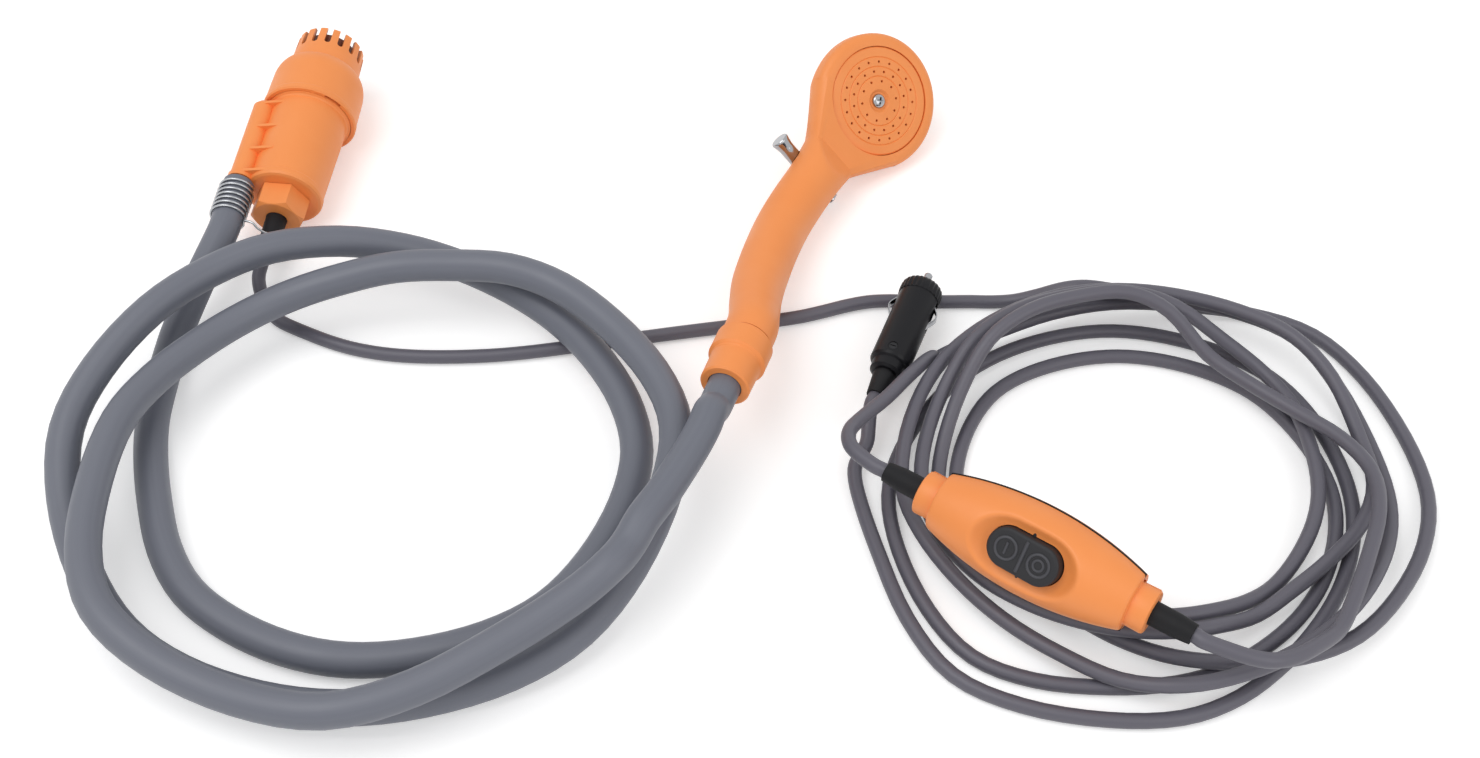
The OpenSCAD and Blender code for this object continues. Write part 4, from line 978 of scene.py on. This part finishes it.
# radius, distance from the rear of the plug, share of the ribs' rise
COLLAR = np.array([[10.45, 51, 0], [10.6, 51.3, 1], [10.7, 53.5, 1], [10.65, 56.6, 1], [10.2, 57.9, 1],
                   [9.4, 58.9, 0.8], [8.2, 59.5, 0.4], [6.6, 59.8, 0], [5.3, 59.85, 0], [5.15, 60, 0],
                   [5.1, 61.5, 0], [4.9, 61.9, 0], [4.5, 62, 0]])
ribs = RIB_RISE * np.cos(COLLAR_RIBS * around(COLLAR_SIDES))
collar_round = turned(COLLAR[:, :2], COLLAR_SIDES)
swell = 1 + COLLAR[:, 2:] * ribs / COLLAR[:, :1]
collar_round[..., :2] *= swell[..., None]
collar = grid_object("nose_collar", [place("plug", collar_round)], black_abs, smooth_angle=RIB_ANGLE)
collar_bore = [(10.28, 50), (10.28, 51.9), (9.5, 53.4), (7.9, 56.05), (4.9, 56.06), (4.9, 59.7),
               (3.3, 59.71), (3.3, 70)]
carve(collar, grid_object("collar_bore", [place("plug", turned(collar_bore))], black_abs))
settle(collar, "set", "moulded_black", "plug_ring")
pin_line = [(4.2, 55), (4.4, 55.2), (4.4, 59.5), (2.9, 59.6), (2.9, 61.8), (2.05, 62.4), (1.95, 66.2),
            (2.2, 66.7), (2.2, 67.8), (1.75, 68.4), (0.6, 68.6)]
pin = grid_object("plated_pin", [place("plug", turned(pin_line, PIN_SIDES))], chrome)
settle(pin, "plug_nose", "bright_chrome", "plug_tip")

# %% [markdown]
# ### Spring leaves
# At each side of the plug a bowed spring leaf presses on the socket's wall. It is a flat strip, bowed by
# a squared sine so that both its ends lie flat, and its section is a circle pushed out towards a
# rectangle, which keeps the edges round without a bevel.

# %% Leaves
LEAF_SEAT, LEAF_BOW, LEAF_FROM, LEAF_TO = 8.95, 3.5, 33.4, 50.4
LEAF_THICK, LEAF_WIDE, LEAF_SQUARE, LEAF_SIDES = 0.36, 2.0, 0.4, 20
t = np.linspace(0, 1, 37)
leaf_line = np.stack([LEAF_SEAT + LEAF_BOW * np.sin(np.pi * t) ** 2, 0 * t,
                      LEAF_FROM + (LEAF_TO - LEAF_FROM) * t], -1)
leaf_side = np.cross((0, 1, 0), unit(np.gradient(leaf_line, axis=0)))
a = around(LEAF_SIDES)[:, None]
thick, wide = (half * np.sign(w) * np.abs(w) ** LEAF_SQUARE for half, w in
               ((LEAF_THICK, np.cos(a)), (LEAF_WIDE, np.sin(a))))
leaf_grid = leaf_line[:, None] + thick * leaf_side[:, None] + wide * np.array([0, 1, 0])
for name, way in (("left", 0), ("right", 180)):
    leaf_place = place("plug", leaf_grid @ turn("z", way).T)
    piece = grid_object("spring_leaf_" + name, [leaf_place], chrome)
    settle(piece, name + "_leaf", "bright_chrome", "contact_" + name)

# %% [markdown]
# ### Coil spring
# Behind the fuse a coil spring pushes the pin out. It is a helix like the wire's. As the pin goes in,
# the spring is pushed shorter; here it gets a mesh of its own and keeps its drawn length.

# %% Spring
SPRING_R, SPRING_WIRE, SPRING_SIDES = 2.5, 0.4, 10
SPRING_TURNS, SPRING_FROM, SPRING_LONG, SPRING_KEEP = 4, 16.6, 6.5, 0.6
spring_line = helix(SPRING_R, 0, SPRING_TURNS, TURN_RINGS * SPRING_TURNS + 1, SPRING_FROM,
                    SPRING_FROM + SPRING_LONG)
spring_skin = carry_circle(spring_line, SPRING_WIRE, SPRING_SIDES)
spring = grid_object("fuse_spring", [place("plug", spring_skin)], bare_steel)
settle(spring, "set", "plain_steel", "tip_spring")
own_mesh(spring)

# %% [markdown]
# ## Floor
# The set lies on a plain white floor. More light would make the floor white too, but it would bleach
# the colours of the part. So for the camera and in mirrors the floor adds a little light of its own,
# and it reads as white while the shadows stay.

# %% Floor
FLOOR_HALF, FLOOR_TONE, FLOOR_ROUGH, FLOOR_GLOW = 6.0, "#F4F4F4", 0.9, 0.35


def seen_or_mirrored(tree):
    """One for rays from the eye, a mirror or glass, nought for light that only bounces."""
    path = add(tree, "ShaderNodeLightPath").outputs
    starts = {0: path["Is Camera Ray"], 1: path["Is Glossy Ray"]}
    eye = add(tree, "ShaderNodeMath", starts, operation="MAXIMUM")
    ends = {0: eye.outputs[0], 1: path["Is Transmission Ray"]}
    return add(tree, "ShaderNodeMath", ends, operation="MAXIMUM").outputs[0]


scene.view_settings.view_transform = "Standard"
floor_material, floor_tree, floor_shader = blank("white_floor")
floor_shader.inputs["Base Color"].default_value = linear(FLOOR_TONE)
floor_shader.inputs["Roughness"].default_value = FLOOR_ROUGH
floor_shader.inputs["Specular IOR Level"].default_value = 0.0
floor_shader.inputs["Emission Color"].default_value = (1, 1, 1, 1)
glow = add(floor_tree, "ShaderNodeMath", {0: seen_or_mirrored(floor_tree)}, operation="MULTIPLY")
glow.inputs[1].default_value = FLOOR_GLOW
feed(floor_tree, floor_shader, {"Emission Strength": glow.outputs[0]})
floor_mesh = bpy.data.meshes.new("floor")
corners = np.array([[-1, -1], [1, -1], [1, 1], [-1, 1]]) * FLOOR_HALF
floor_mesh.from_pydata(np.column_stack([corners, np.zeros(4)]).tolist(), [], [(0, 1, 2, 3)])
floor_mesh.materials.append(floor_material)
floor = bpy.data.objects.new("floor", floor_mesh)
scene.collection.objects.link(floor)
print("floor", 2 * FLOOR_HALF, "m across")

# %% [markdown]
# ## Light
# Soft light comes from above: an even white sky, one wide lamp over the left shoulder and a smaller one
# from the right. Hard lamps would cut sharp shadows and burn spots into the plating. The camera and
# mirrors see the sky as full white, while it lights the part at a lower level.

# %% Sky and lamps
SKY_LIGHT = 0.6
# place and size in metres, power in watts
LAMPS = {"key_lamp": ((-0.7, -0.4, 1.9), 1.4, 15), "fill_lamp": ((1.3, -1.2, 1.2), 1.2, 6)}
world = bpy.data.worlds.new("studio")
scene.world = world
world.use_nodes = True
sky_tree = world.node_tree
sky = sky_tree.nodes["Background"]
sky.inputs["Color"].default_value = (1, 1, 1, 1)
level = add(sky_tree, "ShaderNodeMapRange", {"Value": seen_or_mirrored(sky_tree)}, To_Min=SKY_LIGHT,
            To_Max=1.0)
feed(sky_tree, sky, {"Strength": level.outputs["Result"]})
for name, (at, size, power) in LAMPS.items():
    light = bpy.data.lights.new(name, "AREA")
    light.size, light.energy = size, power
    lamp = bpy.data.objects.new(name, light)
    lamp.location = Vector(at)
    lamp.rotation_euler = (target - lamp.location).to_track_quat("-Z", "Y").to_euler()
    scene.collection.objects.link(lamp)
    print(name, power, "W,", size, "m wide")
